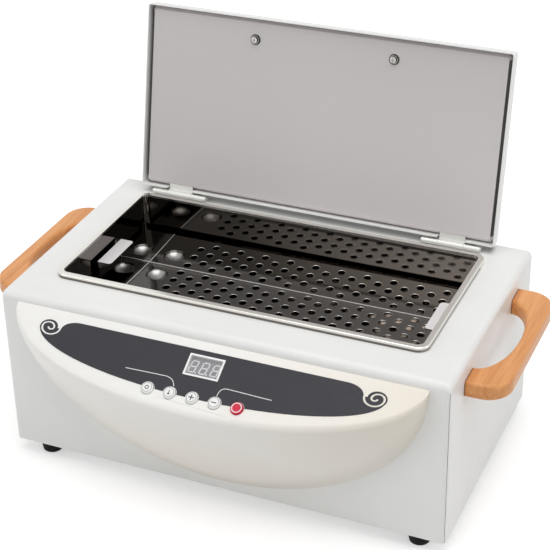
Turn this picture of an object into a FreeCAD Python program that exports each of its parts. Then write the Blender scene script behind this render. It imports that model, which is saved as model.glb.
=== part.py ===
import FreeCAD, Part

import math
import os

os.makedirs("parts", exist_ok=True)
V = FreeCAD.Vector

# Desktop hot-air sterilizer for nail tools, lid open, in millimetres.
# While it is built, X is zero at the middle of the casing, Y is zero at the casing's front face
# and grows to the rear, and Z is zero on the table. At the end the whole model moves along Y,
# so that the middle of its outer box is at zero.

# Feet
FOOT_HEIGHT = 13.0
FOOT_TOP_RADIUS = 10.0
FOOT_BOTTOM_RADIUS = 8.0
FOOT_EDGE_RADIUS = 1.5
FOOT_INSET_X = 24.0
FOOT_INSET_Y = 14.0
FOOT_RECESS_RADIUS = 3.8
FOOT_RECESS_DEPTH = 6.0

# Casing cover: one folded sheet with a top and four sides
CASING_WIDTH = 365.0
CASING_DEPTH = 211.0
CASING_HEIGHT = 140.0
SHEET = 1.2
TOP_EDGE_RADIUS = 6.0
SIDE_EDGE_RADIUS = 3.0
SEAM_WIDTH = 0.5
SEAM_TOP_GAP = 7.0

# Base plate
BASE_FLANGE_HEIGHT = 12.0
BASE_FIT_GAP = 0.15
BASE_SCREW_FROM_SIDE = 32.5
BASE_SLOT_COUNT = 9
BASE_SLOT_PITCH = 9.0
BASE_SLOT_WIDTH = 3.0
BASE_SLOT_LENGTH = 46.0

# Rear wall
REAR_SLOTS_FROM_SIDE = 87.5
REAR_SLOT_COUNT = 8
REAR_SLOT_PITCH = 9.0
REAR_SLOT_WIDTH = 3.2
REAR_SLOT_LENGTH = 34.0
REAR_SLOT_MIDDLE_Z = 88.0
REAR_SLOT_MIDDLE_X = CASING_WIDTH / 2 - REAR_SLOTS_FROM_SIDE
GLAND_FROM_SIDE = 54.5
GLAND_X = GLAND_FROM_SIDE - CASING_WIDTH / 2
GLAND_Z = 46.0
GLAND_BORE_RADIUS = 3.8
GLAND_THREAD_RADIUS = 8.0
GLAND_HOLE_GAP = 0.1
GLAND_FLANGE_RADIUS = 11.0
GLAND_FLANGE_LENGTH = 4.0
GLAND_NOSE_RADIUS = 8.5
GLAND_NOSE_LENGTH = 9.0
GLAND_THREAD_LENGTH = 12.0
GLAND_NUT_LENGTH = 5.0
GLAND_NUT_FLATS = 24.0

# Tank
RIM_WIDTH = 306.0
RIM_DEPTH = 149.5
RIM_FROM_BACK = 29.0
RIM_RISE = 4.0
RIM_FLANGE = 4.5
RIM_CORNER_RADIUS = 9.0
TANK_SHEET = 0.8
TANK_CORNER_RADIUS = 5.0
TANK_INNER_DEPTH = 76.0
TANK_HOLE_GAP = 1.0

# Tray
TRAY_SHEET = 0.8
TRAY_GAP_X = 3.0
TRAY_GAP_Y = 6.0
TRAY_EDGE_DROP = 30.5
TRAY_CREASE_DIP = 2.0
TRAY_CREASE_FROM_BACK = 47.0
TRAY_LONG_FLANGE = 5.0
TRAY_LEG_LENGTH_Y = 24.0
TRAY_LEG_INSET_Y = 4.0
TRAY_RIB_WIDTH = 2.4
TRAY_RIB_RISE = 0.7
TRAY_CROSS_RIB_FROM_LEFT = 27.4
TAB_LENGTH_Y = 41.0
TAB_RISE = 15.0
TAB_REACH = 12.0
TAB_CORNER_RADIUS = 3.0
TRAY_HOLE_RADIUS = 3.25
TRAY_HOLE_COLUMN_PITCH = 11.25
TRAY_HOLE_ROW_PITCH = 6.5
TRAY_HOLE_FIRST_FROM_LEFT = 59.0
TRAY_HOLE_LAST_FROM_RIGHT = 18.0
TRAY_HOLE_FROM_EDGE = 7.0
CUP_RADIUS = 9.0
CUP_DEPTH = 4.0
CUP_SPACING_X = 29.4
CUP_SPACING_Y = 32.6

# Heating
HEATER_WIDTH = 236.0
HEATER_DEPTH = 96.0
HEATER_THICKNESS = 3.0
PRESS_PLATE_THICKNESS = 1.5
BOTTOM_INSULATION_THICKNESS = 10.0
BOTTOM_INSULATION_MARGIN = 3.0
SIDE_INSULATION_THICKNESS = 12.0
SIDE_INSULATION_TOP_GAP = 16.0
STUD_RADIUS = 2.0
STUD_TAIL = 6.0
STUD_NUT_FLATS = 7.0
STUD_NUT_LENGTH = 3.2
STUD_INSET = 16.0
PROBE_RADIUS = 2.5
PROBE_LENGTH = 42.0
PROBE_BESIDE_HEATER = 14.0
CUTOUT_RADIUS = 7.0
CUTOUT_HEIGHT = 7.0
CUTOUT_FLANGE_LENGTH = 24.0
CUTOUT_FROM_HEATER_END = 48.0
CUTOUT_BESIDE_HEATER = 12.5
TANK_BRACKET_WIDTH = 18.0
TANK_BRACKET_SHARE_OF_GAP = 0.4375
TANK_BRACKET_LEG = 14.0
TANK_BRACKET_FROM_TANK_END = 30.25
TANK_BRACKET_SHEET = 1.2

# Front bezel: a half bowl whose cross sections all have one form
BEZEL_FROM_SIDE = 15.5
BEZEL_FROM_TOP = 7.0
BEZEL_FROM_BOTTOM = 8.0
PANEL_SLOPE_DEG = 30.0
PANEL_REACH = 60.0
BOWL_BULGE = 8.0
BOWL_EDGE_RADIUS = 6.0
BEZEL_WALL = 2.5
BEZEL_SECTION_ANGLES = (3.0, 7.0, 13.0, 22.0, 33.0, 46.0, 60.0, 75.0, 90.0)
BEZEL_BOSS_RADIUS = 4.0
BEZEL_BOSS_X = 92.0
BEZEL_BOSS_UPPER_DROP = 24.0
BEZEL_BOSS_LOWER_DROP = 68.0
WIRE_WINDOW_HALF_WIDTH = 48.0
WIRE_WINDOW_LOW = 52.0
WIRE_WINDOW_HIGH = 108.0

# Printed panel film
FILM_THICKNESS = 0.35
PRINT_TOP = 7.3
PRINT_HALF_WIDTH = 139.8
PRINT_SHOULDER_HALF_WIDTH = 108.0
PRINT_SHOULDER_LEVEL = 15.2
PRINT_BELLY = 31.2
SCROLL_CENTRE_X = 132.8
SCROLL_RADIUS = 7.4
SCROLL_FLATTENING = 0.8
SCROLL_BAND = 1.7
SCROLL_TURNS = ((123.0, 138.2, 1), (138.2, 128.4, -1), (128.4, 133.0, 1))

# Display
DISPLAY_WIDTH = 28.4
DISPLAY_HEIGHT = 17.9
DISPLAY_MIDDLE = 20.4
DISPLAY_FRAME_WIDTH = 1.4
DISPLAY_FRAME_RISE = 0.8
DISPLAY_WINDOW_THICKNESS = 1.2
DISPLAY_WINDOW_GAP = 0.1
DISPLAY_RECESS = 1.5

# Buttons
BUTTON_NAMES = ("select_button", "warmth_button", "plus_button", "minus_button", "red_button")
BUTTON_PITCH = 18.0
BUTTON_ROW = 46.3
BUTTON_RADIUS = 4.8
BUTTON_RISE = 1.9
BUTTON_EDGE_RADIUS = 0.8
BUTTON_HOLE_GAP = 0.25
BUTTON_FLANGE_RADIUS = 6.2
BUTTON_FLANGE_THICKNESS = 1.2
BUTTON_FLANGE_GAP = 0.1
BUTTON_STEM_RADIUS = 1.6
BUTTON_TRAVEL = 0.8
FILM_HOLE_GAP = 0.7

# Control board
BOARD_THICKNESS = 1.6
BOARD_DEPTH_BELOW_PANEL = 11.0
BOARD_HALF_WIDTH = 52.0
BOARD_TOP = 13.0
BOARD_BOTTOM = 53.5
BOARD_POST_RADIUS = 3.0
BOARD_POST_INSET = 4.5
SWITCH_SIZE = 6.0
SWITCH_HEIGHT = 3.6
SWITCH_WELL_DEPTH = 2.2
SWITCH_WELL_GAP = 0.2

# Power board
POWER_BOARD_WIDTH = 116.0
POWER_BOARD_DEPTH = 78.0
POWER_BOARD_FROM_SIDE = 64.5
POWER_BOARD_FROM_BACK = 99.0
POWER_BOARD_X = POWER_BOARD_FROM_SIDE - CASING_WIDTH / 2
POWER_BOARD_Y = CASING_DEPTH - POWER_BOARD_FROM_BACK
STANDOFF_HEIGHT = 8.0
STANDOFF_RADIUS = 3.0
STANDOFF_INSET = 6.0
TRANSFORMER_WIDTH = 42.0
TRANSFORMER_DEPTH = 36.0
TRANSFORMER_HEIGHT = 30.0
TRANSFORMER_COIL_BULGE = 5.0
TRANSFORMER_OFFSET_X = 24.0
RELAY_WIDTH = 28.0
RELAY_DEPTH = 12.5
RELAY_HEIGHT = 20.0
RELAY_OFFSET_X = 14.0

# Wooden bridge handles
HANDLE_LENGTH = 143.0
HANDLE_REACH = 31.5
HANDLE_THICKNESS = 13.5
HANDLE_OPENING_LENGTH = 99.0
HANDLE_OPENING_REACH = 20.7
HANDLE_CORNER_RADIUS = 20.0
HANDLE_EDGE_RADIUS = 3.2
HANDLE_SCREW_SPACING = 119.0
SIDE_HANDLE_FORWARD = 2.5
SIDE_HANDLE_MIDDLE_Y = CASING_DEPTH / 2 - SIDE_HANDLE_FORWARD
SIDE_HANDLE_TOP_DROP = 15.5
HANDLE_SCREW_RADIUS = 2.0
HANDLE_SCREW_BITE = 14.0

# Lid, given as it lies when closed
LID_SIDE_OVERHANG = 3.0
LID_FRONT_OVERHANG = 2.5
LID_BACK_OVERHANG = 3.5
LID_WIDTH = RIM_WIDTH + 2 * LID_SIDE_OVERHANG
LID_DEPTH = LID_FRONT_OVERHANG + RIM_DEPTH + LID_BACK_OVERHANG
LID_THICKNESS = 14.0
LID_SHEET = 1.0
LID_EDGE_RADIUS = 3.5
LID_CORNER_RADIUS = 2.5
LID_CLOSED_GAP = 0.9
LID_OPEN_DEG = 101.7
LINER_RECESS = 3.4
LINER_SHEET = 0.8
LINER_GAP = 1.5
LINER_EDGE_CHAMFER = 2.0
LINER_CORNER_RADIUS = 4.0
LINER_TOP_GAP = 0.3
LID_HANDLE_FROM_FRONT = 18.4
LID_SCREW_HEAD_RADIUS = 3.0
LID_SCREW_HEAD_HEIGHT = 1.7
CUP_WASHER_RADIUS = 4.4
CUP_WASHER_HEIGHT = 1.3

# Hinges
HINGE_FROM_LID_SIDE = 35.3
HINGE_OFFSET_X = LID_WIDTH / 2 - HINGE_FROM_LID_SIDE
HINGE_LENGTH = 48.0
HINGE_MIDDLE_KNUCKLE = 22.0
HINGE_KNUCKLE_GAP = 0.2
HINGE_RADIUS = 2.5
HINGE_SHEET = 1.2
HINGE_AXIS_BEHIND_LID = 4.2
HINGE_AXIS_RISE = 2.7
HINGE_PIN_RADIUS = 1.25
HINGE_RUNNING_GAP = 0.05
HINGE_PIN_HEAD_RADIUS = 2.0
HINGE_PIN_HEAD_LENGTH = 0.8
HINGE_BASE_LEAF_DEPTH = 11.2
HINGE_LID_LEAF_DEPTH = 24.0
HINGE_SCREW_FROM_AXIS = 6.0
HINGE_SCREW_FROM_END = 8.0
HINGE_NOTCH_GAP = 0.7
LID_STOP_GAP = 0.3

# Small screws
SMALL_SCREW_RADIUS = 1.5
SMALL_HEAD_RADIUS = 2.8
SMALL_HEAD_HEIGHT = 1.6
SCREW_HOLE_GAP = 0.2
NUT_HEIGHT = 2.4
NUT_FLATS = 5.5

# Places that follow from the sizes above
TOP_Z = FOOT_HEIGHT + CASING_HEIGHT
RIM_TOP_Z = TOP_Z + RIM_RISE
BASE_TOP_Z = FOOT_HEIGHT + SHEET
RIM_BACK_Y = CASING_DEPTH - RIM_FROM_BACK
RIM_FRONT_Y = RIM_BACK_Y - RIM_DEPTH
TANK_HALF_X = RIM_WIDTH / 2 - RIM_FLANGE
TANK_FRONT_Y = RIM_FRONT_Y + RIM_FLANGE
TANK_BACK_Y = RIM_BACK_Y - RIM_FLANGE
TANK_MIDDLE_Y = (TANK_FRONT_Y + TANK_BACK_Y) / 2
TANK_FLOOR_Z = RIM_TOP_Z - TANK_INNER_DEPTH
TANK_UNDER_Z = TANK_FLOOR_Z - TANK_SHEET
LID_FRONT_Y = RIM_FRONT_Y - LID_FRONT_OVERHANG
HINGE_AXIS_Y = LID_FRONT_Y + LID_DEPTH + HINGE_AXIS_BEHIND_LID
HINGE_AXIS_Z = TOP_Z + HINGE_AXIS_RISE
LID_RIM_Z = TOP_Z + LID_CLOSED_GAP
BEZEL_TOP_Z = FOOT_HEIGHT + CASING_HEIGHT - BEZEL_FROM_TOP
BEZEL_HALF_WIDTH = CASING_WIDTH / 2 - BEZEL_FROM_SIDE
BOWL_DROP = CASING_HEIGHT - BEZEL_FROM_TOP - BEZEL_FROM_BOTTOM
SLOPE_COS = math.cos(math.radians(PANEL_SLOPE_DEG))
SLOPE_SIN = math.sin(math.radians(PANEL_SLOPE_DEG))
LINER_Z = LID_RIM_Z + LINER_RECESS
LID_INSIDE_Z = LID_RIM_Z + LID_THICKNESS - LID_SHEET
LINER_TOP_Z = LID_INSIDE_Z - LINER_TOP_GAP


# Helpers
def box(x0, x1, y0, y1, z0, z1):
    return Part.makeBox(x1 - x0, y1 - y0, z1 - z0, V(x0, y0, z0))


def edges_along(shape, direction):
    """Straight edges of a shape that run along one of the axes."""
    found = []
    for edge in shape.Edges:
        if len(edge.Vertexes) < 2:
            continue
        run = edge.Vertexes[1].Point - edge.Vertexes[0].Point
        if run.Length > 1e-6 and abs(abs(run.normalize().dot(direction)) - 1) < 1e-6:
            found.append(edge)
    return found


def rounded_box(x0, x1, y0, y1, z0, z1, radius):
    """A box with its four upright edges rounded."""
    plain = box(x0, x1, y0, y1, z0, z1)
    return plain.makeFillet(radius, edges_along(plain, V(0, 0, 1)))


def soft_box(x0, x1, y0, y1, z0, z1, side_radius, top_radius):
    """A box with rounded upright edges and a rounded edge all round its top face."""
    body = rounded_box(x0, x1, y0, y1, z0, z1, side_radius)
    top_edges = [edge for edge in body.Edges if edge.BoundBox.ZMin > z1 - 1e-6]
    return body.makeFillet(top_radius, top_edges)


def rod(radius, length, at, direction):
    return Part.makeCylinder(radius, length, at, direction)


def tube(outer, inner, length, at, direction):
    return rod(outer, length, at, direction).cut(rod(inner, length, at, direction))


def hexagon(flats, length, at, direction):
    """A hexagonal prism that starts at a point and runs along a direction."""
    radius = flats / math.sqrt(3)
    turns = [math.radians(60 * i) for i in range(7)]
    corners = [V(radius * math.cos(turn), radius * math.sin(turn), 0) for turn in turns]
    prism = Part.Face(Part.makePolygon(corners)).extrude(V(0, 0, length))
    return aimed(prism, at, direction)


def aimed(shape, at, direction):
    """A shape built along +Z from the origin, turned to a direction and moved to a point."""
    shape.Placement = FreeCAD.Placement(at, FreeCAD.Rotation(V(0, 0, 1), direction))
    return shape


def cross_screw(head_radius, head_height, shank_radius, shank_length):
    """A pan-head cross screw: the head lies below z = 0 and the shank runs up from it."""
    head = Part.makeCylinder(head_radius, head_height, V(0, 0, -head_height))
    outer_edges = [edge for edge in head.Edges if edge.BoundBox.ZMax < -head_height + 1e-6]
    head = head.makeFillet(head_height * 0.55, outer_edges)
    arm = head_radius * 0.62
    blade = head_radius * 0.13
    depth = head_height * 0.6
    for x, y in ((arm, blade), (blade, arm)):
        head = head.cut(box(-x, x, -y, y, -head_height - 0.1, -head_height + depth))
    return head.fuse(Part.makeCylinder(shank_radius, shank_length)).removeSplitter()


def extruded(points, axis_from, axis_length, plane):
    """A polygon given as pairs, in the XZ or YZ plane, extruded along the third axis."""
    if plane == "YZ":
        corners = [V(axis_from, a, b) for a, b in points]
        run = V(axis_length, 0, 0)
    else:
        corners = [V(a, axis_from, b) for a, b in points]
        run = V(0, axis_length, 0)
    return Part.Face(Part.makePolygon(corners + corners[:1])).extrude(run)


def joined(shapes):
    whole = shapes[0]
    for shape in shapes[1:]:
        whole = whole.fuse(shape)
    return whole.removeSplitter()


def without(shape, cutters):
    for cutter in cutters:
        shape = shape.cut(cutter)
    return shape


# Fastener places, shared by the pieces that they pass through
def foot_places():
    right = CASING_WIDTH / 2 - FOOT_INSET_X
    back = CASING_DEPTH - FOOT_INSET_Y
    return {
        "front_left_foot": V(-right, FOOT_INSET_Y, 0),
        "front_right_foot": V(right, FOOT_INSET_Y, 0),
        "back_left_foot": V(-right, back, 0),
        "back_right_foot": V(right, back, 0),
    }


def side_handle_middle_z():
    return TOP_Z - SIDE_HANDLE_TOP_DROP - HANDLE_THICKNESS / 2


def side_screw_places():
    """Where the side handles' screws cross the side walls: point on the outer face and outward direction."""
    places = []
    for side in (-1, 1):
        for end in (-1, 1):
            y = SIDE_HANDLE_MIDDLE_Y + end * HANDLE_SCREW_SPACING / 2
            places.append((V(side * CASING_WIDTH / 2, y, side_handle_middle_z()), V(side, 0, 0)))
    return places


def lid_screw_places():
    y = LID_FRONT_Y + LID_HANDLE_FROM_FRONT
    return [V(side * HANDLE_SCREW_SPACING / 2, y, LINER_Z) for side in (-1, 1)]


def hinge_screw_places():
    y = HINGE_AXIS_Y + HINGE_SCREW_FROM_AXIS
    places = []
    for side in (-1, 1):
        for end in (-1, 1):
            x = side * HINGE_OFFSET_X + end * (HINGE_LENGTH / 2 - HINGE_SCREW_FROM_END)
            places.append(V(x, y, TOP_Z))
    return places


def bezel_boss_places():
    return [
        V(side * BEZEL_BOSS_X, 0, BEZEL_TOP_Z - drop)
        for side in (-1, 1)
        for drop in (BEZEL_BOSS_UPPER_DROP, BEZEL_BOSS_LOWER_DROP)
    ]


def base_screw_places():
    z = BASE_TOP_Z + BASE_FLANGE_HEIGHT / 2
    outer = CASING_WIDTH / 2 - BASE_SCREW_FROM_SIDE
    return [V(x, CASING_DEPTH, z) for x in (-outer, -outer / 3, outer / 3, outer)]


def stud_places():
    x = HEATER_WIDTH / 2 - STUD_INSET
    y = HEATER_DEPTH / 2 - STUD_INSET
    return [V(i * x, TANK_MIDDLE_Y + j * y, 0) for i in (-1, 1) for j in (-1, 1)]


def standoff_places():
    x = POWER_BOARD_WIDTH / 2 - STANDOFF_INSET
    y = POWER_BOARD_DEPTH / 2 - STANDOFF_INSET
    return [V(POWER_BOARD_X + i * x, POWER_BOARD_Y + j * y, BASE_TOP_Z) for i in (-1, 1) for j in (-1, 1)]


# Casing
def rear_slots():
    slots = []
    first = REAR_SLOT_MIDDLE_X - REAR_SLOT_PITCH * (REAR_SLOT_COUNT - 1) / 2
    for i in range(REAR_SLOT_COUNT):
        x = first + i * REAR_SLOT_PITCH
        half = REAR_SLOT_WIDTH / 2
        z0 = REAR_SLOT_MIDDLE_Z - REAR_SLOT_LENGTH / 2
        z1 = z0 + REAR_SLOT_LENGTH
        slots.append(box(x - half, x + half, CASING_DEPTH - 2 * SHEET, CASING_DEPTH + 1, z0, z1))
    return slots


def corner_seams():
    """Thin open seams up the four corners, where the folded sides meet."""
    seams = []
    height = CASING_HEIGHT - SEAM_TOP_GAP
    reach = SIDE_EDGE_RADIUS + 2 * SHEET
    for x, y, turn in (
        (-CASING_WIDTH / 2, 0, 45),
        (CASING_WIDTH / 2, 0, 135),
        (CASING_WIDTH / 2, CASING_DEPTH, 225),
        (-CASING_WIDTH / 2, CASING_DEPTH, 315),
    ):
        blade = box(-reach, reach, -SEAM_WIDTH / 2, SEAM_WIDTH / 2, 0, height)
        blade.Placement = FreeCAD.Placement(V(x, y, FOOT_HEIGHT), FreeCAD.Rotation(V(0, 0, 1), turn))
        seams.append(blade)
    return seams


def casing_cover():
    half = CASING_WIDTH / 2
    outer = soft_box(-half, half, 0, CASING_DEPTH, FOOT_HEIGHT, TOP_Z, SIDE_EDGE_RADIUS, TOP_EDGE_RADIUS)
    inner = soft_box(
        -half + SHEET,
        half - SHEET,
        SHEET,
        CASING_DEPTH - SHEET,
        FOOT_HEIGHT - 1,
        TOP_Z - SHEET,
        SIDE_EDGE_RADIUS - SHEET,
        TOP_EDGE_RADIUS - SHEET,
    )
    tank_x = TANK_HALF_X + TANK_SHEET + TANK_HOLE_GAP
    gap_y = TANK_SHEET + TANK_HOLE_GAP
    tank_hole = rounded_box(
        -tank_x,
        tank_x,
        TANK_FRONT_Y - gap_y,
        TANK_BACK_Y + gap_y,
        TOP_Z - 2 * SHEET,
        TOP_Z + 1,
        TANK_CORNER_RADIUS + gap_y,
    )
    window = box(
        -WIRE_WINDOW_HALF_WIDTH,
        WIRE_WINDOW_HALF_WIDTH,
        -1,
        2 * SHEET,
        FOOT_HEIGHT + WIRE_WINDOW_LOW,
        FOOT_HEIGHT + WIRE_WINDOW_HIGH,
    )
    cuts = [tank_hole, window] + rear_slots() + corner_seams()
    for place, outward in side_screw_places():
        cuts.append(rod(HANDLE_SCREW_RADIUS + SCREW_HOLE_GAP, 3 * SHEET, place + outward, outward * -1))
    small_hole = SMALL_SCREW_RADIUS + SCREW_HOLE_GAP
    for place in hinge_screw_places():
        cuts.append(rod(small_hole, 3 * SHEET, place + V(0, 0, 1), V(0, 0, -1)))
    for place in bezel_boss_places():
        cuts.append(rod(small_hole, 3 * SHEET, place + V(0, -1, 0), V(0, 1, 0)))
    for place in base_screw_places():
        cuts.append(rod(small_hole, 3 * SHEET, place + V(0, 1, 0), V(0, -1, 0)))
    gland_radius = GLAND_THREAD_RADIUS + GLAND_HOLE_GAP
    gland = rod(gland_radius, 3 * SHEET, V(GLAND_X, CASING_DEPTH + 1, GLAND_Z), V(0, -1, 0))
    return without(outer.cut(inner), cuts + [gland])


def base_plate():
    inset = SHEET + BASE_FIT_GAP
    half = CASING_WIDTH / 2 - inset
    back = CASING_DEPTH - inset
    flange_z = BASE_TOP_Z + BASE_FLANGE_HEIGHT
    outer = rounded_box(-half, half, inset, back, FOOT_HEIGHT, flange_z, SIDE_EDGE_RADIUS)
    inner = box(-half + SHEET, half - SHEET, inset + SHEET, back - SHEET, BASE_TOP_Z, TOP_Z)
    cuts = []
    middle_y = CASING_DEPTH / 2
    first = -BASE_SLOT_PITCH * (BASE_SLOT_COUNT - 1) / 2
    for i in range(BASE_SLOT_COUNT):
        x = first + i * BASE_SLOT_PITCH
        half_slot = BASE_SLOT_WIDTH / 2
        y0 = middle_y - BASE_SLOT_LENGTH / 2
        cuts.append(box(x - half_slot, x + half_slot, y0, y0 + BASE_SLOT_LENGTH, 0, TOP_Z))
    for place in foot_places().values():
        cuts.append(rod(SMALL_SCREW_RADIUS + SCREW_HOLE_GAP, TOP_Z, place, V(0, 0, 1)))
    for place in base_screw_places():
        cuts.append(rod(SMALL_SCREW_RADIUS, 4 * SHEET, place, V(0, -1, 0)))
    return without(outer.cut(inner), cuts)


def foot(place):
    """A rubber foot: a tapered plug with a rounded lower edge and a recess for its screw."""
    cone = Part.makeCone(FOOT_BOTTOM_RADIUS, FOOT_TOP_RADIUS, FOOT_HEIGHT)
    lower = [edge for edge in cone.Edges if edge.BoundBox.ZMax < 1e-6]
    cone = cone.makeFillet(FOOT_EDGE_RADIUS, lower)
    cone = cone.cut(Part.makeCylinder(FOOT_RECESS_RADIUS, FOOT_RECESS_DEPTH))
    cone = cone.cut(Part.makeCylinder(SMALL_SCREW_RADIUS + SCREW_HOLE_GAP, FOOT_HEIGHT))
    return cone.translated(place)


def foot_screws():
    """Four screws up through the feet and the base plate, each with its nut."""
    screws = []
    shank = BASE_TOP_Z - FOOT_RECESS_DEPTH + NUT_HEIGHT + 1
    for place in foot_places().values():
        screw = cross_screw(SMALL_HEAD_RADIUS, SMALL_HEAD_HEIGHT, SMALL_SCREW_RADIUS, shank)
        screw = aimed(screw, place + V(0, 0, FOOT_RECESS_DEPTH), V(0, 0, 1))
        nut = hexagon(NUT_FLATS, NUT_HEIGHT, place + V(0, 0, BASE_TOP_Z), V(0, 0, 1))
        screws.append(screw.fuse(nut).removeSplitter())
    return Part.makeCompound(screws)


def base_screws():
    screws = []
    for place in base_screw_places():
        screw = cross_screw(SMALL_HEAD_RADIUS, SMALL_HEAD_HEIGHT, SMALL_SCREW_RADIUS, 4 * SHEET)
        screws.append(aimed(screw, place, V(0, -1, 0)))
    return Part.makeCompound(screws)


def cord_gland():
    """Strain relief body with a through bore for a mains cord."""
    at = V(GLAND_X, CASING_DEPTH, GLAND_Z)
    out = V(0, 1, 0)
    flange = rod(GLAND_FLANGE_RADIUS, GLAND_FLANGE_LENGTH, at, out)
    nose_at = at + out * GLAND_FLANGE_LENGTH
    nose = Part.makeCone(GLAND_FLANGE_RADIUS - 1, GLAND_NOSE_RADIUS, GLAND_NOSE_LENGTH, nose_at, out)
    thread = rod(GLAND_THREAD_RADIUS, GLAND_THREAD_LENGTH, at, out * -1)
    body = joined([flange, nose, thread])
    length = GLAND_THREAD_LENGTH + GLAND_FLANGE_LENGTH + GLAND_NOSE_LENGTH
    return body.cut(rod(GLAND_BORE_RADIUS, length + 2, at - out * (GLAND_THREAD_LENGTH + 1), out))


def gland_nut():
    at = V(GLAND_X, CASING_DEPTH - SHEET, GLAND_Z)
    nut = hexagon(GLAND_NUT_FLATS, GLAND_NUT_LENGTH, at, V(0, -1, 0))
    return nut.cut(rod(GLAND_THREAD_RADIUS, GLAND_NUT_LENGTH + 2, at + V(0, 1, 0), V(0, -1, 0)))


# Tank and tray
def tank():
    half = RIM_WIDTH / 2
    rim = rounded_box(-half, half, RIM_FRONT_Y, RIM_BACK_Y, TOP_Z, RIM_TOP_Z, RIM_CORNER_RADIUS)
    top = [edge for edge in rim.Edges if edge.BoundBox.ZMin > RIM_TOP_Z - 1e-6]
    rim = rim.makeFillet(TANK_SHEET, top)
    under = rounded_box(
        -half + TANK_SHEET,
        half - TANK_SHEET,
        RIM_FRONT_Y + TANK_SHEET,
        RIM_BACK_Y - TANK_SHEET,
        TOP_Z - 1,
        RIM_TOP_Z - TANK_SHEET,
        RIM_CORNER_RADIUS - TANK_SHEET,
    )
    pot = rounded_box(
        -TANK_HALF_X - TANK_SHEET,
        TANK_HALF_X + TANK_SHEET,
        TANK_FRONT_Y - TANK_SHEET,
        TANK_BACK_Y + TANK_SHEET,
        TANK_UNDER_Z,
        RIM_TOP_Z - TANK_SHEET / 2,
        TANK_CORNER_RADIUS + TANK_SHEET,
    )
    hollow = rounded_box(
        -TANK_HALF_X, TANK_HALF_X, TANK_FRONT_Y, TANK_BACK_Y, TANK_FLOOR_Z, RIM_TOP_Z + 1, TANK_CORNER_RADIUS
    )
    return rim.cut(under).fuse(pot).cut(hollow).removeSplitter()


def tank_brackets():
    """Four angle brackets that hold the tank down under the casing's top sheet."""
    gap = CASING_WIDTH / 2 - SHEET - TANK_HALF_X - TANK_SHEET
    reach = gap * TANK_BRACKET_SHARE_OF_GAP
    brackets = []
    for side in (-1, 1):
        for end in (-1, 1):
            x = side * (TANK_HALF_X + TANK_SHEET)
            y = TANK_MIDDLE_Y + end * (TANK_BACK_Y - TANK_MIDDLE_Y - TANK_BRACKET_FROM_TANK_END)
            half = TANK_BRACKET_WIDTH / 2
            foot_x = sorted((x, x + side * reach))
            leg_x = sorted((x, x + side * TANK_BRACKET_SHEET))
            top = TOP_Z - SHEET
            flat = box(*foot_x, y - half, y + half, top - TANK_BRACKET_SHEET, top)
            leg = box(*leg_x, y - half, y + half, top - TANK_BRACKET_LEG, top)
            brackets.append(flat.fuse(leg).removeSplitter())
    return Part.makeCompound(brackets)


def tray_limits():
    """Half length, front and back edge of the tray, its edge height and the crease's place."""
    half = TANK_HALF_X - TRAY_GAP_X
    front = TANK_FRONT_Y + TRAY_GAP_Y
    back = TANK_BACK_Y - TRAY_GAP_Y
    edge_z = RIM_TOP_Z - TRAY_EDGE_DROP
    crease_y = back - TRAY_CREASE_FROM_BACK
    return half, front, back, edge_z, crease_y


def tray_height(y):
    """Height of the tray's upper face at a depth: it dips to the long crease from both edges."""
    _, front, back, edge_z, crease_y = tray_limits()
    share = (back - y) / (back - crease_y) if y > crease_y else (y - front) / (crease_y - front)
    return edge_z - TRAY_CREASE_DIP * share


def tray_sheet():
    half, front, back, edge_z, crease_y = tray_limits()
    low = edge_z - TRAY_CREASE_DIP
    t = TRAY_SHEET
    profile = [
        (front, edge_z - TRAY_LONG_FLANGE),
        (front, edge_z),
        (crease_y, low),
        (back, edge_z),
        (back, edge_z - TRAY_LONG_FLANGE),
        (back - t, edge_z - TRAY_LONG_FLANGE),
        (back - t, edge_z - t),
        (crease_y, low - t),
        (front + t, edge_z - t),
        (front + t, edge_z - TRAY_LONG_FLANGE),
    ]
    return extruded(profile, -half, 2 * half, "YZ")


def tray_ribs():
    """A pressed rib along the crease and one across it."""
    half, front, back, edge_z, crease_y = tray_limits()
    low = edge_z - TRAY_CREASE_DIP
    w = TRAY_RIB_WIDTH / 2
    along = extruded(
        [
            (crease_y - w, low - TRAY_SHEET / 4),
            (crease_y - w / 3, low + TRAY_RIB_RISE),
            (crease_y + w / 3, low + TRAY_RIB_RISE),
            (crease_y + w, low - TRAY_SHEET / 4),
        ],
        -half,
        2 * half,
        "YZ",
    )
    x = -half + TRAY_CROSS_RIB_FROM_LEFT
    ribs = [along]
    for y0, y1 in ((front, crease_y), (crease_y, back)):
        corners = []
        for y in (y0, y1):
            z = tray_height(y)
            lift = z + TRAY_RIB_RISE
            sunk = z - TRAY_SHEET / 4
            section = ((x - w, sunk), (x - w / 3, lift), (x + w / 3, lift), (x + w, sunk))
            corners.append([V(across, y, height) for across, height in section])
        wires = [Part.makePolygon(ring + ring[:1]) for ring in corners]
        ribs.append(Part.makeLoft(wires, True, True))
    return ribs


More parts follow.
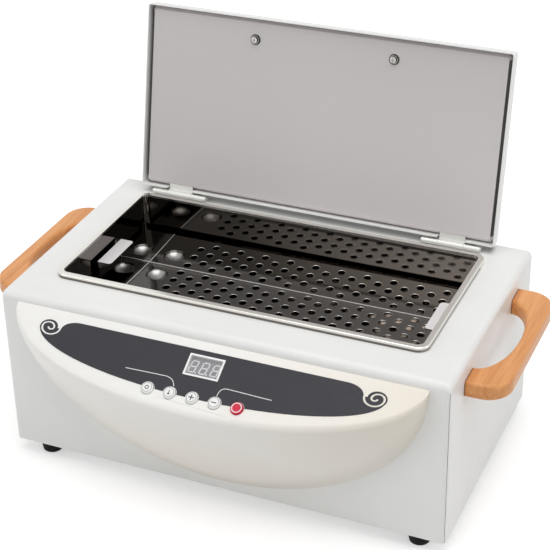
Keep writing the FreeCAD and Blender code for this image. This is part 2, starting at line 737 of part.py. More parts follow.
def tray_cups():
    """Four round cups pressed down, two each side of the ribs' crossing: their shells and their holes."""
    half, _, _, _, crease_y = tray_limits()
    rib_x = -half + TRAY_CROSS_RIB_FROM_LEFT
    sphere_radius = (CUP_RADIUS**2 + CUP_DEPTH**2) / (2 * CUP_DEPTH)
    shells = []
    holes = []
    for i in (-1, 1):
        for j in (-1, 1):
            x = rib_x + i * CUP_SPACING_X / 2
            y = crease_y + j * CUP_SPACING_Y / 2
            rise = (tray_height(y + 1) - tray_height(y - 1)) / 2
            tilt = FreeCAD.Rotation(V(1, 0, 0), math.degrees(math.atan(rise)))
            place = FreeCAD.Placement(V(x, y, tray_height(y)), tilt)
            centre = V(0, 0, sphere_radius - CUP_DEPTH)
            outer = Part.makeSphere(sphere_radius + TRAY_SHEET, centre)
            depth = CUP_DEPTH + 2 * TRAY_SHEET
            slab = Part.makeCylinder(CUP_RADIUS + TRAY_SHEET, depth, V(0, 0, -depth))
            shell = outer.common(slab)
            mouth = Part.makeCylinder(sphere_radius, depth + CUP_DEPTH, V(0, 0, -depth))
            inner = Part.makeSphere(sphere_radius, centre).common(mouth)
            shell.Placement = place
            inner.Placement = place
            shells.append(shell)
            holes.append(inner)
    return shells, holes


def tray_holes():
    half, front, back, _, crease_y = tray_limits()
    run = 2 * half - TRAY_HOLE_FIRST_FROM_LEFT - TRAY_HOLE_LAST_FROM_RIGHT
    columns = int(run / TRAY_HOLE_COLUMN_PITCH) + 1
    rows_front = int((crease_y - front - TRAY_HOLE_FROM_EDGE) / TRAY_HOLE_ROW_PITCH)
    rows_back = int((back - crease_y - TRAY_HOLE_FROM_EDGE) / TRAY_HOLE_ROW_PITCH)
    depth = TRAY_CREASE_DIP + 4 * TRAY_SHEET
    holes = []
    for column in range(columns):
        x = -half + TRAY_HOLE_FIRST_FROM_LEFT + column * TRAY_HOLE_COLUMN_PITCH
        for row in range(-rows_front, rows_back + 1):
            if row == 0 or (row + column) % 2 == 0:
                continue
            y = crease_y + row * TRAY_HOLE_ROW_PITCH
            holes.append(rod(TRAY_HOLE_RADIUS, depth, V(x, y, tray_height(y) + TRAY_SHEET), V(0, 0, -1)))
    return holes


def tray_end(side):
    """One end of the tray: two legs down to the tank's floor, and an upright with a grip tab."""
    half, front, back, edge_z, crease_y = tray_limits()
    x = sorted((side * half, side * (half - TRAY_SHEET)))
    middle = TANK_MIDDLE_Y
    pieces = []
    for y0 in (front + TRAY_LEG_INSET_Y, back - TRAY_LEG_INSET_Y - TRAY_LEG_LENGTH_Y):
        y1 = y0 + TRAY_LEG_LENGTH_Y
        top = min(tray_height(y0), tray_height(y1)) - TRAY_SHEET / 2
        pieces.append(box(*x, y0, y1, TANK_FLOOR_Z, top))
    y0 = middle - TAB_LENGTH_Y / 2
    y1 = middle + TAB_LENGTH_Y / 2
    foot_z = edge_z - TRAY_CREASE_DIP - TRAY_SHEET
    top = edge_z - TRAY_CREASE_DIP + TAB_RISE
    pieces.append(box(*x, y0, y1, foot_z, top))
    inner_x = side * (half - TAB_REACH)
    tab = box(*sorted((side * half, inner_x)), y0, y1, top - TRAY_SHEET, top)
    corners = [edge for edge in edges_along(tab, V(0, 0, 1)) if abs(edge.CenterOfMass.x - inner_x) < 1e-6]
    pieces.append(tab.makeFillet(TAB_CORNER_RADIUS, corners))
    return pieces


def tray():
    shells, cups = tray_cups()
    body = joined([tray_sheet()] + tray_ribs() + shells + tray_end(-1) + tray_end(1))
    body = body.cut(Part.makeCompound(cups))
    return body.cut(Part.makeCompound(tray_holes()))


# Heating
def heater_box(margin, z0, z1):
    half_x = HEATER_WIDTH / 2 + margin
    half_y = HEATER_DEPTH / 2 + margin
    plate = rounded_box(-half_x, half_x, TANK_MIDDLE_Y - half_y, TANK_MIDDLE_Y + half_y, z0, z1, 4.0 + margin)
    hole_radius = STUD_RADIUS + SCREW_HOLE_GAP
    holes = [rod(hole_radius, z1 - z0, place + V(0, 0, z0), V(0, 0, 1)) for place in stud_places()]
    return without(plate, holes)


def heater_element():
    """Mica heating plate under the tank, with two terminal tags."""
    top = TANK_UNDER_Z
    plate = heater_box(0, top - HEATER_THICKNESS, top)
    tags = []
    for x in (-12.0, 12.0):
        y = TANK_MIDDLE_Y - HEATER_DEPTH / 2
        tags.append(box(x - 3.2, x + 3.2, y - 14.0, y + 2.0, top - 2.0, top - 1.0))
    return joined([plate] + tags)


def press_plate():
    top = TANK_UNDER_Z - HEATER_THICKNESS
    return heater_box(0, top - PRESS_PLATE_THICKNESS, top)


def bottom_insulation():
    top = TANK_UNDER_Z - HEATER_THICKNESS - PRESS_PLATE_THICKNESS
    return heater_box(BOTTOM_INSULATION_MARGIN, top - BOTTOM_INSULATION_THICKNESS, top)


def heater_studs():
    """Four studs welded to the tank's underside, each with a nut under the insulation."""
    stack = HEATER_THICKNESS + PRESS_PLATE_THICKNESS + BOTTOM_INSULATION_THICKNESS
    studs = []
    for place in stud_places():
        stud = rod(STUD_RADIUS, stack + STUD_TAIL, V(place.x, place.y, TANK_UNDER_Z), V(0, 0, -1))
        nut = hexagon(STUD_NUT_FLATS, STUD_NUT_LENGTH, V(place.x, place.y, TANK_UNDER_Z - stack), V(0, 0, -1))
        studs.append(stud.fuse(nut).removeSplitter())
    return Part.makeCompound(studs)


def side_insulation():
    x = TANK_HALF_X + TANK_SHEET
    y0 = TANK_FRONT_Y - TANK_SHEET
    y1 = TANK_BACK_Y + TANK_SHEET
    t = SIDE_INSULATION_THICKNESS
    z1 = TOP_Z - SIDE_INSULATION_TOP_GAP
    outer = rounded_box(-x - t, x + t, y0 - t, y1 + t, TANK_UNDER_Z, z1, TANK_CORNER_RADIUS + t)
    inner = rounded_box(-x, x, y0, y1, TANK_UNDER_Z - 1, z1 + 1, TANK_CORNER_RADIUS + TANK_SHEET)
    return outer.cut(inner)


def temperature_probe():
    """A metal probe tube lying along the tank's underside, in its fixing tab."""
    y = TANK_MIDDLE_Y + HEATER_DEPTH / 2 + PROBE_BESIDE_HEATER
    z = TANK_UNDER_Z - PROBE_RADIUS
    tip = rod(PROBE_RADIUS, PROBE_LENGTH, V(-PROBE_LENGTH / 2, y, z), V(1, 0, 0))
    tab = box(-5.0, 5.0, y - 8.0, y + 8.0, TANK_UNDER_Z - 1.0, TANK_UNDER_Z)
    strap = tube(PROBE_RADIUS + 1.0, PROBE_RADIUS, 10.0, V(-5.0, y, z), V(1, 0, 0))
    below = box(-6.0, 6.0, y - 8.0, y + 8.0, z - 8.0, TANK_UNDER_Z)
    return joined([tip, tab, strap.common(below)])


def thermal_cutout():
    """A round snap-disc cut-out with two blade terminals, flat against the tank's underside."""
    x = HEATER_WIDTH / 2 - CUTOUT_FROM_HEATER_END
    at = V(x, TANK_MIDDLE_Y - HEATER_DEPTH / 2 - CUTOUT_BESIDE_HEATER, TANK_UNDER_Z)
    body = rod(CUTOUT_RADIUS, CUTOUT_HEIGHT, at, V(0, 0, -1))
    half = CUTOUT_FLANGE_LENGTH / 2
    flange = box(at.x - half, at.x + half, at.y - 4.0, at.y + 4.0, at.z - 1.0, at.z)
    low = at.z - CUTOUT_HEIGHT - 7.0
    blades = []
    for x in (at.x - 4.0, at.x + 4.0):
        blades.append(box(x - 0.4, x + 0.4, at.y - 3.2, at.y + 3.2, low, at.z - 1.0))
    return joined([body, flange] + blades)


# Front bezel
def bowl_section(x, half_width, reach, drop, bulge, edge_radius, top_z):
    """One cross section of the bowl in the YZ plane: sloping panel, rounded edge, curved underside, back."""
    scale = math.sqrt(1 - (x / half_width) ** 2)
    corner = V(x, -reach * scale * SLOPE_COS, -reach * scale * SLOPE_SIN)
    base = V(x, 0, -drop * scale)
    chord = base - corner
    outward = V(0, -abs(chord.z), -abs(chord.y)).normalize()
    sag = bulge * scale
    radius = (chord.Length / 2) ** 2 / (2 * sag) + sag / 2
    centre = (corner + base) * 0.5 - outward * (radius - sag)
    edge = min(edge_radius, 0.4 * reach * scale)
    down_slope = V(0, -SLOPE_COS, -SLOPE_SIN)
    inward = V(0, SLOPE_SIN, -SLOPE_COS)
    hinge = V(x, 0, 0)
    offset = hinge + inward * edge - centre
    half_b = down_slope.dot(offset)
    c = offset.dot(offset) - (radius - edge) ** 2
    run = -half_b + math.sqrt(half_b**2 - c)
    edge_centre = hinge + down_slope * run + inward * edge
    line_end = hinge + down_slope * run
    to_edge = (edge_centre - centre).normalize()
    arc_start = centre + to_edge * radius
    edge_middle = edge_centre + ((line_end - edge_centre) + (arc_start - edge_centre)).normalize() * edge
    to_base = (base - centre).normalize()
    arc_middle = centre + (to_edge + to_base).normalize() * radius
    lift = V(0, 0, top_z)
    panel = Part.LineSegment(hinge + lift, line_end + lift).toShape()
    rounding = Part.Arc(line_end + lift, edge_middle + lift, arc_start + lift).toShape()
    belly = Part.Arc(arc_start + lift, arc_middle + lift, base + lift).toShape()
    back = Part.LineSegment(base + lift, hinge + lift).toShape()
    return Part.Wire([panel, rounding, belly, back])


def bowl(half_width, reach, drop, bulge, edge_radius, top_z):
    angles = list(BEZEL_SECTION_ANGLES) + [180 - a for a in reversed(BEZEL_SECTION_ANGLES[:-1])]
    sections = []
    for angle in angles:
        x = -half_width * math.cos(math.radians(angle))
        sections.append(bowl_section(x, half_width, reach, drop, bulge, edge_radius, top_z))
    return Part.makeLoft(sections, True, False)


def outer_bowl():
    return bowl(BEZEL_HALF_WIDTH, PANEL_REACH, BOWL_DROP, BOWL_BULGE, BOWL_EDGE_RADIUS, BEZEL_TOP_Z)


def on_panel(shape):
    """Moves a shape from the panel's frame, with X along it, Y up its slope and zero at its top edge."""
    place = FreeCAD.Placement(V(0, 0, BEZEL_TOP_Z), FreeCAD.Rotation(V(1, 0, 0), PANEL_SLOPE_DEG))
    shape.Placement = place.multiply(shape.Placement)
    return shape


def button_xs():
    return [(i - 2) * BUTTON_PITCH for i in range(len(BUTTON_NAMES))]


def board_post_places():
    x = BOARD_HALF_WIDTH - BOARD_POST_INSET
    upper = -BOARD_TOP - BOARD_POST_INSET
    lower = -BOARD_BOTTOM + BOARD_POST_INSET
    return [(i * x, y) for i in (-1, 1) for y in (upper, lower)]


def front_bezel():
    """Moulded half-bowl shell with screw bosses, board posts and holes for the display and the buttons."""
    outer = outer_bowl()
    wall_lift = BEZEL_WALL / SLOPE_COS
    corner_shift = BEZEL_WALL * (0.75 + math.tan(math.radians(PANEL_SLOPE_DEG)))
    base_shift = 1.4 * BEZEL_WALL
    inner = bowl(
        BEZEL_HALF_WIDTH - BEZEL_WALL,
        PANEL_REACH - corner_shift,
        BOWL_DROP - wall_lift - base_shift,
        BOWL_BULGE,
        BOWL_EDGE_RADIUS - BEZEL_WALL,
        BEZEL_TOP_Z - wall_lift,
    )
    shell = outer.cut(inner)
    bosses = []
    for place in bezel_boss_places():
        boss = rod(BEZEL_BOSS_RADIUS, PANEL_REACH, place, V(0, -1, 0)).common(outer)
        bosses.append(boss)
    posts = []
    for x, y in board_post_places():
        height = BOARD_DEPTH_BELOW_PANEL - BEZEL_WALL / 2
        posts.append(on_panel(rod(BOARD_POST_RADIUS, height, V(x, y, -BEZEL_WALL / 2), V(0, 0, -1))))
    shell = joined([shell] + bosses + posts)
    cuts = []
    for place in bezel_boss_places():
        cuts.append(rod(SMALL_SCREW_RADIUS, 10.0, place + V(0, 1, 0), V(0, -1, 0)))
    for x, y in board_post_places():
        cuts.append(on_panel(rod(SMALL_SCREW_RADIUS, 6.0, V(x, y, -BOARD_DEPTH_BELOW_PANEL - 1), V(0, 0, 1))))
    opening = DISPLAY_WIDTH / 2 - DISPLAY_FRAME_WIDTH
    half_height = DISPLAY_HEIGHT / 2 - DISPLAY_FRAME_WIDTH
    low = -DISPLAY_MIDDLE - half_height
    cuts.append(on_panel(box(-opening, opening, low, low + 2 * half_height, -8.0, 2.0)))
    hole_radius = BUTTON_RADIUS + BUTTON_HOLE_GAP
    for x in button_xs():
        hole = rod(hole_radius, 2 * BEZEL_WALL, V(x, -BUTTON_ROW, BEZEL_WALL / 2), V(0, 0, -1))
        cuts.append(on_panel(hole))
    return without(shell, cuts)


def bezel_screws():
    screws = []
    for place in bezel_boss_places():
        screw = cross_screw(SMALL_HEAD_RADIUS, SMALL_HEAD_HEIGHT, SMALL_SCREW_RADIUS, SHEET + 7.0)
        screws.append(aimed(screw, place + V(0, SHEET, 0), V(0, -1, 0)))
    return Part.makeCompound(screws)


def on_scroll_level(shape):
    """Flattens a shape along the slope and moves it down to the level of the scrolls' centres."""
    squeeze = FreeCAD.Matrix()
    squeeze.scale(V(1, SCROLL_FLATTENING, 1))
    return shape.transformGeometry(squeeze).translated(V(0, -PRINT_SHOULDER_LEVEL, 0))


def scroll_band(side):
    """The pale spiral band of one end scroll, from half rings whose centres step along one line."""
    bands = []
    for start, end, turn in SCROLL_TURNS:
        centre = V(side * (start + end) / 2, 0, -0.5)
        radius = abs(end - start) / 2
        ring = tube(radius + SCROLL_BAND / 2, radius - SCROLL_BAND / 2, 2.0, centre, V(0, 0, 1))
        reach = radius + SCROLL_BAND
        y = sorted((0, -turn * reach))
        half_plane = box(centre.x - reach, centre.x + reach, y[0], y[1], -1, 2)
        bands.append(on_scroll_level(ring.common(half_plane)))
    return bands


def half_ellipse(x, half_width, height, upward):
    """A film-thick half ellipse that stands on the scrolls' level or hangs from it."""
    ellipse = Part.Ellipse(V(x, 0, 0), half_width, height)
    span = (0, math.pi) if upward else (math.pi, 2 * math.pi)
    arc = Part.Arc(ellipse, *span).toShape()
    chord = Part.LineSegment(V(x - half_width, 0, 0), V(x + half_width, 0, 0)).toShape()
    face = Part.Face(Part.Wire([arc, chord]))
    return face.extrude(V(0, 0, FILM_THICKNESS)).translated(V(0, -PRINT_SHOULDER_LEVEL, 0))


def panel_film():
    """Printed film on the panel: flat top, curved lower edge, a scroll at each end."""
    half = PRINT_SHOULDER_HALF_WIDTH
    rise = PRINT_SHOULDER_LEVEL - PRINT_TOP
    shoulder = SCROLL_TURNS[0][0] - SCROLL_BAND / 2 - half
    pieces = [
        half_ellipse(0, PRINT_HALF_WIDTH, PRINT_BELLY, False),
        box(-half, half, -PRINT_SHOULDER_LEVEL, -PRINT_TOP, 0, FILM_THICKNESS),
    ]
    for side in (-1, 1):
        disc = Part.makeCylinder(SCROLL_RADIUS, FILM_THICKNESS, V(side * SCROLL_CENTRE_X, 0, 0))
        pieces.append(half_ellipse(side * half, shoulder, rise, True))
        pieces.append(on_scroll_level(disc))
    film = joined(pieces)
    half_width = DISPLAY_WIDTH / 2
    low = -DISPLAY_MIDDLE - DISPLAY_HEIGHT / 2
    cuts = [box(-half_width, half_width, low, low + DISPLAY_HEIGHT, -1, 2)]
    cuts += scroll_band(-1) + scroll_band(1)
    for x in button_xs():
        cuts.append(rod(BUTTON_RADIUS + FILM_HOLE_GAP, 3.0, V(x, -BUTTON_ROW, -1), V(0, 0, 1)))
    return on_panel(without(film, cuts))


def display_frame():
    """Raised white frame round the display, standing on the panel."""
    half_width = DISPLAY_WIDTH / 2
    low = -DISPLAY_MIDDLE - DISPLAY_HEIGHT / 2
    high = low + DISPLAY_HEIGHT
    w = DISPLAY_FRAME_WIDTH
    frame = rounded_box(-half_width, half_width, low, high, 0, DISPLAY_FRAME_RISE, 0.6)
    return on_panel(frame.cut(box(-half_width + w, half_width - w, low + w, high - w, -1, 2)))


def display_window():
    half_width = DISPLAY_WIDTH / 2 - DISPLAY_FRAME_WIDTH - DISPLAY_WINDOW_GAP
    half_height = DISPLAY_HEIGHT / 2 - DISPLAY_FRAME_WIDTH - DISPLAY_WINDOW_GAP
    top = DISPLAY_FRAME_RISE / 2
    window = box(
        -half_width,
        half_width,
        -DISPLAY_MIDDLE - half_height,
        -DISPLAY_MIDDLE + half_height,
        top - DISPLAY_WINDOW_THICKNESS,
        top,
    )
    return on_panel(window)


def display_module():
    """Three-digit display block between the board and the window."""
    half_width = DISPLAY_WIDTH / 2 - DISPLAY_FRAME_WIDTH - 2 * DISPLAY_WINDOW_GAP
    half_height = DISPLAY_HEIGHT / 2 - DISPLAY_FRAME_WIDTH - 2 * DISPLAY_WINDOW_GAP
    top = DISPLAY_FRAME_RISE / 2 - DISPLAY_WINDOW_THICKNESS - DISPLAY_RECESS
    block = box(
        -half_width,
        half_width,
        -DISPLAY_MIDDLE - half_height,
        -DISPLAY_MIDDLE + half_height,
        -BOARD_DEPTH_BELOW_PANEL,
        top,
    )
    return on_panel(block)


def button(x):
    """A push button: domed cap, retaining flange behind the panel and a stem into its switch."""
    flange_top = -BEZEL_WALL - BUTTON_FLANGE_GAP
    cap_bottom = flange_top - BUTTON_FLANGE_THICKNESS
    cap = Part.makeCylinder(BUTTON_RADIUS, BUTTON_RISE - cap_bottom, V(0, 0, cap_bottom))
    top_edge = [edge for edge in cap.Edges if edge.BoundBox.ZMin > BUTTON_RISE - 1e-6]
    cap = cap.makeFillet(BUTTON_EDGE_RADIUS, top_edge)
    flange = Part.makeCylinder(BUTTON_FLANGE_RADIUS, BUTTON_FLANGE_THICKNESS, V(0, 0, cap_bottom))
    switch_top = -BOARD_DEPTH_BELOW_PANEL + SWITCH_HEIGHT
    stem_end = switch_top - SWITCH_WELL_DEPTH + BUTTON_TRAVEL + 0.2
    stem = Part.makeCylinder(BUTTON_STEM_RADIUS, cap_bottom - stem_end, V(0, 0, stem_end))
    return on_panel(joined([cap, flange, stem]).translated(V(x, -BUTTON_ROW, 0)))


def button_switches():
    """Five small switches on the board, each with a well for its button's stem."""
    half = SWITCH_SIZE / 2
    switches = []
    for x in button_xs():
        z0 = -BOARD_DEPTH_BELOW_PANEL
        body = box(x - half, x + half, -BUTTON_ROW - half, -BUTTON_ROW + half, z0, z0 + SWITCH_HEIGHT)
        well_at = V(x, -BUTTON_ROW, z0 + SWITCH_HEIGHT - SWITCH_WELL_DEPTH)
        well = rod(BUTTON_STEM_RADIUS + SWITCH_WELL_GAP, SWITCH_WELL_DEPTH + 1, well_at, V(0, 0, 1))
        switches.append(on_panel(body.cut(well)))
    return Part.makeCompound(switches)


def control_board():
    z1 = -BOARD_DEPTH_BELOW_PANEL
    board = box(-BOARD_HALF_WIDTH, BOARD_HALF_WIDTH, -BOARD_BOTTOM, -BOARD_TOP, z1 - BOARD_THICKNESS, z1)
    hole_radius = SMALL_SCREW_RADIUS + SCREW_HOLE_GAP
    depth = 3 * BOARD_THICKNESS
    holes = [rod(hole_radius, depth, V(x, y, z1 + 1), V(0, 0, -1)) for x, y in board_post_places()]
    return on_panel(without(board, holes))


def board_screws():
    screws = []
    for x, y in board_post_places():
        screw = cross_screw(SMALL_HEAD_RADIUS, SMALL_HEAD_HEIGHT, SMALL_SCREW_RADIUS, BOARD_THICKNESS + 4.5)
        screw = aimed(screw, V(x, y, -BOARD_DEPTH_BELOW_PANEL - BOARD_THICKNESS), V(0, 0, 1))
        screws.append(on_panel(screw))
    return Part.makeCompound(screws)


# Power electronics
def power_board():
    z0 = BASE_TOP_Z + STANDOFF_HEIGHT
    x = POWER_BOARD_WIDTH / 2
    y = POWER_BOARD_DEPTH / 2
    board = box(-x, x, -y, y, z0, z0 + BOARD_THICKNESS).translated(V(POWER_BOARD_X, POWER_BOARD_Y, 0))
    holes = [rod(SMALL_SCREW_RADIUS, STANDOFF_HEIGHT * 2, place, V(0, 0, 1)) for place in standoff_places()]
    return without(board, holes)


def board_standoffs():
    """Four pillars between the base plate and the power board, each with a pin that snaps into the board."""
    pillars = []
    for place in standoff_places():
        pillar = rod(STANDOFF_RADIUS, STANDOFF_HEIGHT, place, V(0, 0, 1))
        pin = rod(SMALL_SCREW_RADIUS, STANDOFF_HEIGHT + BOARD_THICKNESS, place, V(0, 0, 1))
        cap_at = place + V(0, 0, STANDOFF_HEIGHT + BOARD_THICKNESS)
        cap = rod(SMALL_HEAD_RADIUS, SMALL_HEAD_HEIGHT, cap_at, V(0, 0, 1))
        pillars.append(joined([pillar, pin, cap]))
    return Part.makeCompound(pillars)


def transformer():
    """Laminated core with its coil standing out at the two long sides."""
    z0 = BASE_TOP_Z + STANDOFF_HEIGHT + BOARD_THICKNESS
    x = POWER_BOARD_X - TRANSFORMER_OFFSET_X
    y = POWER_BOARD_Y
    w = TRANSFORMER_WIDTH / 2
    d = TRANSFORMER_DEPTH / 2
    core = box(x - w, x + w, y - d, y + d, z0, z0 + TRANSFORMER_HEIGHT)
    reach = d + TRANSFORMER_COIL_BULGE
    coil_top = z0 + TRANSFORMER_HEIGHT - 3.0
    coil = rounded_box(x - w * 0.7, x + w * 0.7, y - reach, y + reach, z0 + 3.0, coil_top, 4.0)
    return core.fuse(coil).removeSplitter()


def relay():
    z0 = BASE_TOP_Z + STANDOFF_HEIGHT + BOARD_THICKNESS
    x0 = POWER_BOARD_X + RELAY_OFFSET_X
    y0 = POWER_BOARD_Y - RELAY_DEPTH / 2
    return box(x0, x0 + RELAY_WIDTH, y0, y0 + RELAY_DEPTH, z0, z0 + RELAY_HEIGHT)


# Handles
def bridge_handle():
    """A wooden bridge handle in its own frame: X along it, Y out from its seat, Z its thickness."""
    half = HANDLE_LENGTH / 2
    t = HANDLE_THICKNESS / 2
    block = box(-half, half, 0, HANDLE_REACH, -t, t)
    corners = [edge for edge in edges_along(block, V(0, 0, 1)) if edge.CenterOfMass.y > HANDLE_REACH - 1e-6]
    block = block.makeFillet(HANDLE_CORNER_RADIUS, corners)
    ellipse = Part.Ellipse(V(0, 0, 0), HANDLE_OPENING_LENGTH / 2, HANDLE_OPENING_REACH)
    opening = Part.Face(Part.Wire([ellipse.toShape()])).extrude(V(0, 0, 4 * t)).translated(V(0, 0, -2 * t))
    block = block.cut(opening)
    rims = []
    for edge in block.Edges:
        flat = edge.BoundBox.ZMax - edge.BoundBox.ZMin < 1e-6
        if flat and edge.BoundBox.YMax > 1e-6:
            rims.append(edge)
    block = block.makeFillet(HANDLE_EDGE_RADIUS, rims)
    screw_x = HANDLE_SCREW_SPACING / 2
    pilots = []
    for x in (-screw_x, screw_x):
        pilots.append(rod(HANDLE_SCREW_RADIUS, HANDLE_SCREW_BITE, V(x, 0, 0), V(0, 1, 0)))
    return without(block, pilots)


def side_handle(side):
    handle = bridge_handle()
    at = V(side * CASING_WIDTH / 2, SIDE_HANDLE_MIDDLE_Y, side_handle_middle_z())
    handle.Placement = FreeCAD.Placement(at, FreeCAD.Rotation(V(0, 0, 1), -90 * side))
    return handle


def side_handle_screws():
    screws = []
    for place, outward in side_screw_places():
        shank = SHEET + HANDLE_SCREW_BITE
        screw = cross_screw(LID_SCREW_HEAD_RADIUS, LID_SCREW_HEAD_HEIGHT, HANDLE_SCREW_RADIUS, shank)
        screws.append(aimed(screw, place - outward * SHEET, outward))
    return Part.makeCompound(screws)


# Lid, built closed and then opened
def opened(shape):
    """Swings a lid piece from its closed place to the open rest pose."""
    return shape.rotated(V(0, HINGE_AXIS_Y, HINGE_AXIS_Z), V(1, 0, 0), -LID_OPEN_DEG)


def lid_span(inset):
    """Left, right, front and back of the lid's outline, moved in by an inset."""
    half = LID_WIDTH / 2 - inset
    return -half, half, LID_FRONT_Y + inset, LID_FRONT_Y + LID_DEPTH - inset


def hinge_notches(margin, y0, y1, z0, z1):
    """Boxes round the lid leaves, for the openings that they pass through."""
    half = HINGE_MIDDLE_KNUCKLE / 2 + margin
    middles = (-HINGE_OFFSET_X, HINGE_OFFSET_X)
    return [box(x - half, x + half, y0, y1, z0, z1) for x in middles]


def lid_shell():
    outer = soft_box(*lid_span(0), LID_RIM_Z, LID_RIM_Z + LID_THICKNESS, LID_CORNER_RADIUS, LID_EDGE_RADIUS)
    inner = soft_box(
        *lid_span(LID_SHEET),
        LID_RIM_Z - 1,
        LID_INSIDE_Z,
        LID_CORNER_RADIUS - LID_SHEET,
        LID_EDGE_RADIUS - LID_SHEET,
    )
    back = LID_FRONT_Y + LID_DEPTH
    notch_top = LINER_Z + LINER_SHEET + HINGE_SHEET + HINGE_NOTCH_GAP
    cuts = hinge_notches(HINGE_NOTCH_GAP, back - 2 * LID_SHEET, back + 1, LID_RIM_Z - 1, notch_top)
    for place in lid_screw_places():
        cuts.append(rod(HANDLE_SCREW_RADIUS + SCREW_HOLE_GAP, LID_THICKNESS + 2, place, V(0, 0, 1)))
    return opened(without(outer.cut(inner), cuts))


def lid_liner():
    """Flat stainless pan: its face lies back from the lid's rim, its folded edges rise inside the shell."""
    span = lid_span(LID_SHEET + LINER_GAP)
    pan = rounded_box(*span, LINER_Z, LINER_TOP_Z, LINER_CORNER_RADIUS)
    face_edges = [edge for edge in pan.Edges if edge.BoundBox.ZMax < LINER_Z + 1e-6]
    pan = pan.makeChamfer(LINER_EDGE_CHAMFER, face_edges)
    t = LINER_SHEET
    inner_span = lid_span(LID_SHEET + LINER_GAP + t)
    hollow = rounded_box(*inner_span, LINER_Z + t, LID_INSIDE_Z + 1, LINER_CORNER_RADIUS - t)
    lower_edges = [edge for edge in hollow.Edges if edge.BoundBox.ZMax < LINER_Z + t + 1e-6]
    hollow = hollow.makeChamfer(LINER_EDGE_CHAMFER, lower_edges)
    back = LID_FRONT_Y + LID_DEPTH
    leaf_top = LINER_Z + t + HINGE_SHEET
    notch_front = back - 3 * LINER_GAP - LINER_EDGE_CHAMFER
    cuts = hinge_notches(HINGE_NOTCH_GAP, notch_front, back, LINER_Z + t, leaf_top + HINGE_NOTCH_GAP)
    for place in lid_screw_places():
        cuts.append(rod(HANDLE_SCREW_RADIUS + SCREW_HOLE_GAP, 4 * t, place - V(0, 0, t), V(0, 0, 1)))
    return opened(without(pan.cut(hollow), cuts))


def lid_insulation():
    """Rigid insulating board that fills the lid between the liner and the shell."""
    inset = LID_SHEET + LINER_GAP + LINER_SHEET + LINER_EDGE_CHAMFER
    z0 = LINER_Z + LINER_SHEET
    board = rounded_box(*lid_span(inset), z0, LID_INSIDE_Z, LID_CORNER_RADIUS)
    hole_radius = HANDLE_SCREW_RADIUS + SCREW_HOLE_GAP
    cuts = [rod(hole_radius, LID_THICKNESS, place, V(0, 0, 1)) for place in lid_screw_places()]
    leaf_front = HINGE_AXIS_Y - HINGE_LID_LEAF_DEPTH
    cuts += hinge_notches(HINGE_NOTCH_GAP, leaf_front - HINGE_NOTCH_GAP, HINGE_AXIS_Y, z0, z0 + HINGE_SHEET)
    return opened(without(board, cuts))


def lid_handle():
    handle = bridge_handle()
    at = V(0, LID_FRONT_Y + LID_HANDLE_FROM_FRONT, LID_RIM_Z + LID_THICKNESS)
    handle.Placement = FreeCAD.Placement(at, FreeCAD.Rotation(V(1, 0, 0), 90))
    return opened(handle)


def lid_cup_washers():
    washers = []
    for place in lid_screw_places():
        cone = Part.makeCone(
            CUP_WASHER_RADIUS, LID_SCREW_HEAD_RADIUS + 0.4, CUP_WASHER_HEIGHT, place, V(0, 0, -1)
        )
        radius = HANDLE_SCREW_RADIUS + SCREW_HOLE_GAP
        hole = rod(radius, 3 * CUP_WASHER_HEIGHT, place + V(0, 0, 1), V(0, 0, -1))
        washers.append(opened(cone.cut(hole)))
    return Part.makeCompound(washers)


def lid_handle_screws():
    length = CUP_WASHER_HEIGHT + LID_THICKNESS - LINER_RECESS + HANDLE_SCREW_BITE
    screws = []
    for place in lid_screw_places():
        screw = cross_screw(LID_SCREW_HEAD_RADIUS, LID_SCREW_HEAD_HEIGHT, HANDLE_SCREW_RADIUS, length)
        screws.append(opened(aimed(screw, place - V(0, 0, CUP_WASHER_HEIGHT), V(0, 0, 1))))
    return Part.makeCompound(screws)


# Hinges
def knuckle(x0, x1, bore):
    at = V(x0, HINGE_AXIS_Y, HINGE_AXIS_Z)
    return tube(HINGE_RADIUS, bore, x1 - x0, at, V(1, 0, 0))


def lid_back_height(behind):
    """Height over the casing of the open lid's back wall at a distance behind the hinge axis."""
    angle = math.radians(LID_OPEN_DEG)
    wall_y = -HINGE_AXIS_BEHIND_LID
    up = (behind - wall_y * math.cos(angle)) / math.sin(angle)
    return HINGE_AXIS_RISE - wall_y * math.sin(angle) + up * math.cos(angle)


def hinge_base(side):
    """Base leaf with two outer knuckles; its rear edge is turned up as the open lid's stop."""
    middle = side * HINGE_OFFSET_X
    half = HINGE_LENGTH / 2
    inner = HINGE_MIDDLE_KNUCKLE / 2
    back = HINGE_AXIS_Y + HINGE_BASE_LEAF_DEPTH
    stop_front = back - HINGE_SHEET
    stop_top = TOP_Z + lid_back_height(HINGE_BASE_LEAF_DEPTH) - LID_STOP_GAP
    relief = HINGE_AXIS_Y + HINGE_RADIUS + HINGE_RUNNING_GAP + HINGE_KNUCKLE_GAP
    leaf = box(middle - half, middle + half, HINGE_AXIS_Y, back, TOP_Z, TOP_Z + HINGE_SHEET)
    leaf = leaf.cut(box(middle - inner, middle + inner, HINGE_AXIS_Y - 1, relief, TOP_Z - 1, TOP_Z + 3))
    stop = box(middle - half, middle + half, stop_front, back, TOP_Z, stop_top)
    left = knuckle(middle - half, middle - inner, HINGE_PIN_RADIUS)
    right = knuckle(middle + inner, middle + half, HINGE_PIN_RADIUS)
    body = joined([leaf, stop, left, right])
    bore_at = V(middle - half - 1, HINGE_AXIS_Y, HINGE_AXIS_Z)
    bores = rod(HINGE_PIN_RADIUS, HINGE_LENGTH + 2, bore_at, V(1, 0, 0))
    hole_radius = SMALL_SCREW_RADIUS + SCREW_HOLE_GAP
    depth = 4 * HINGE_SHEET
    holes = [rod(hole_radius, depth, place - V(0, 0, 1), V(0, 0, 1)) for place in hinge_screw_places()]
    return without(body, [bores] + holes)


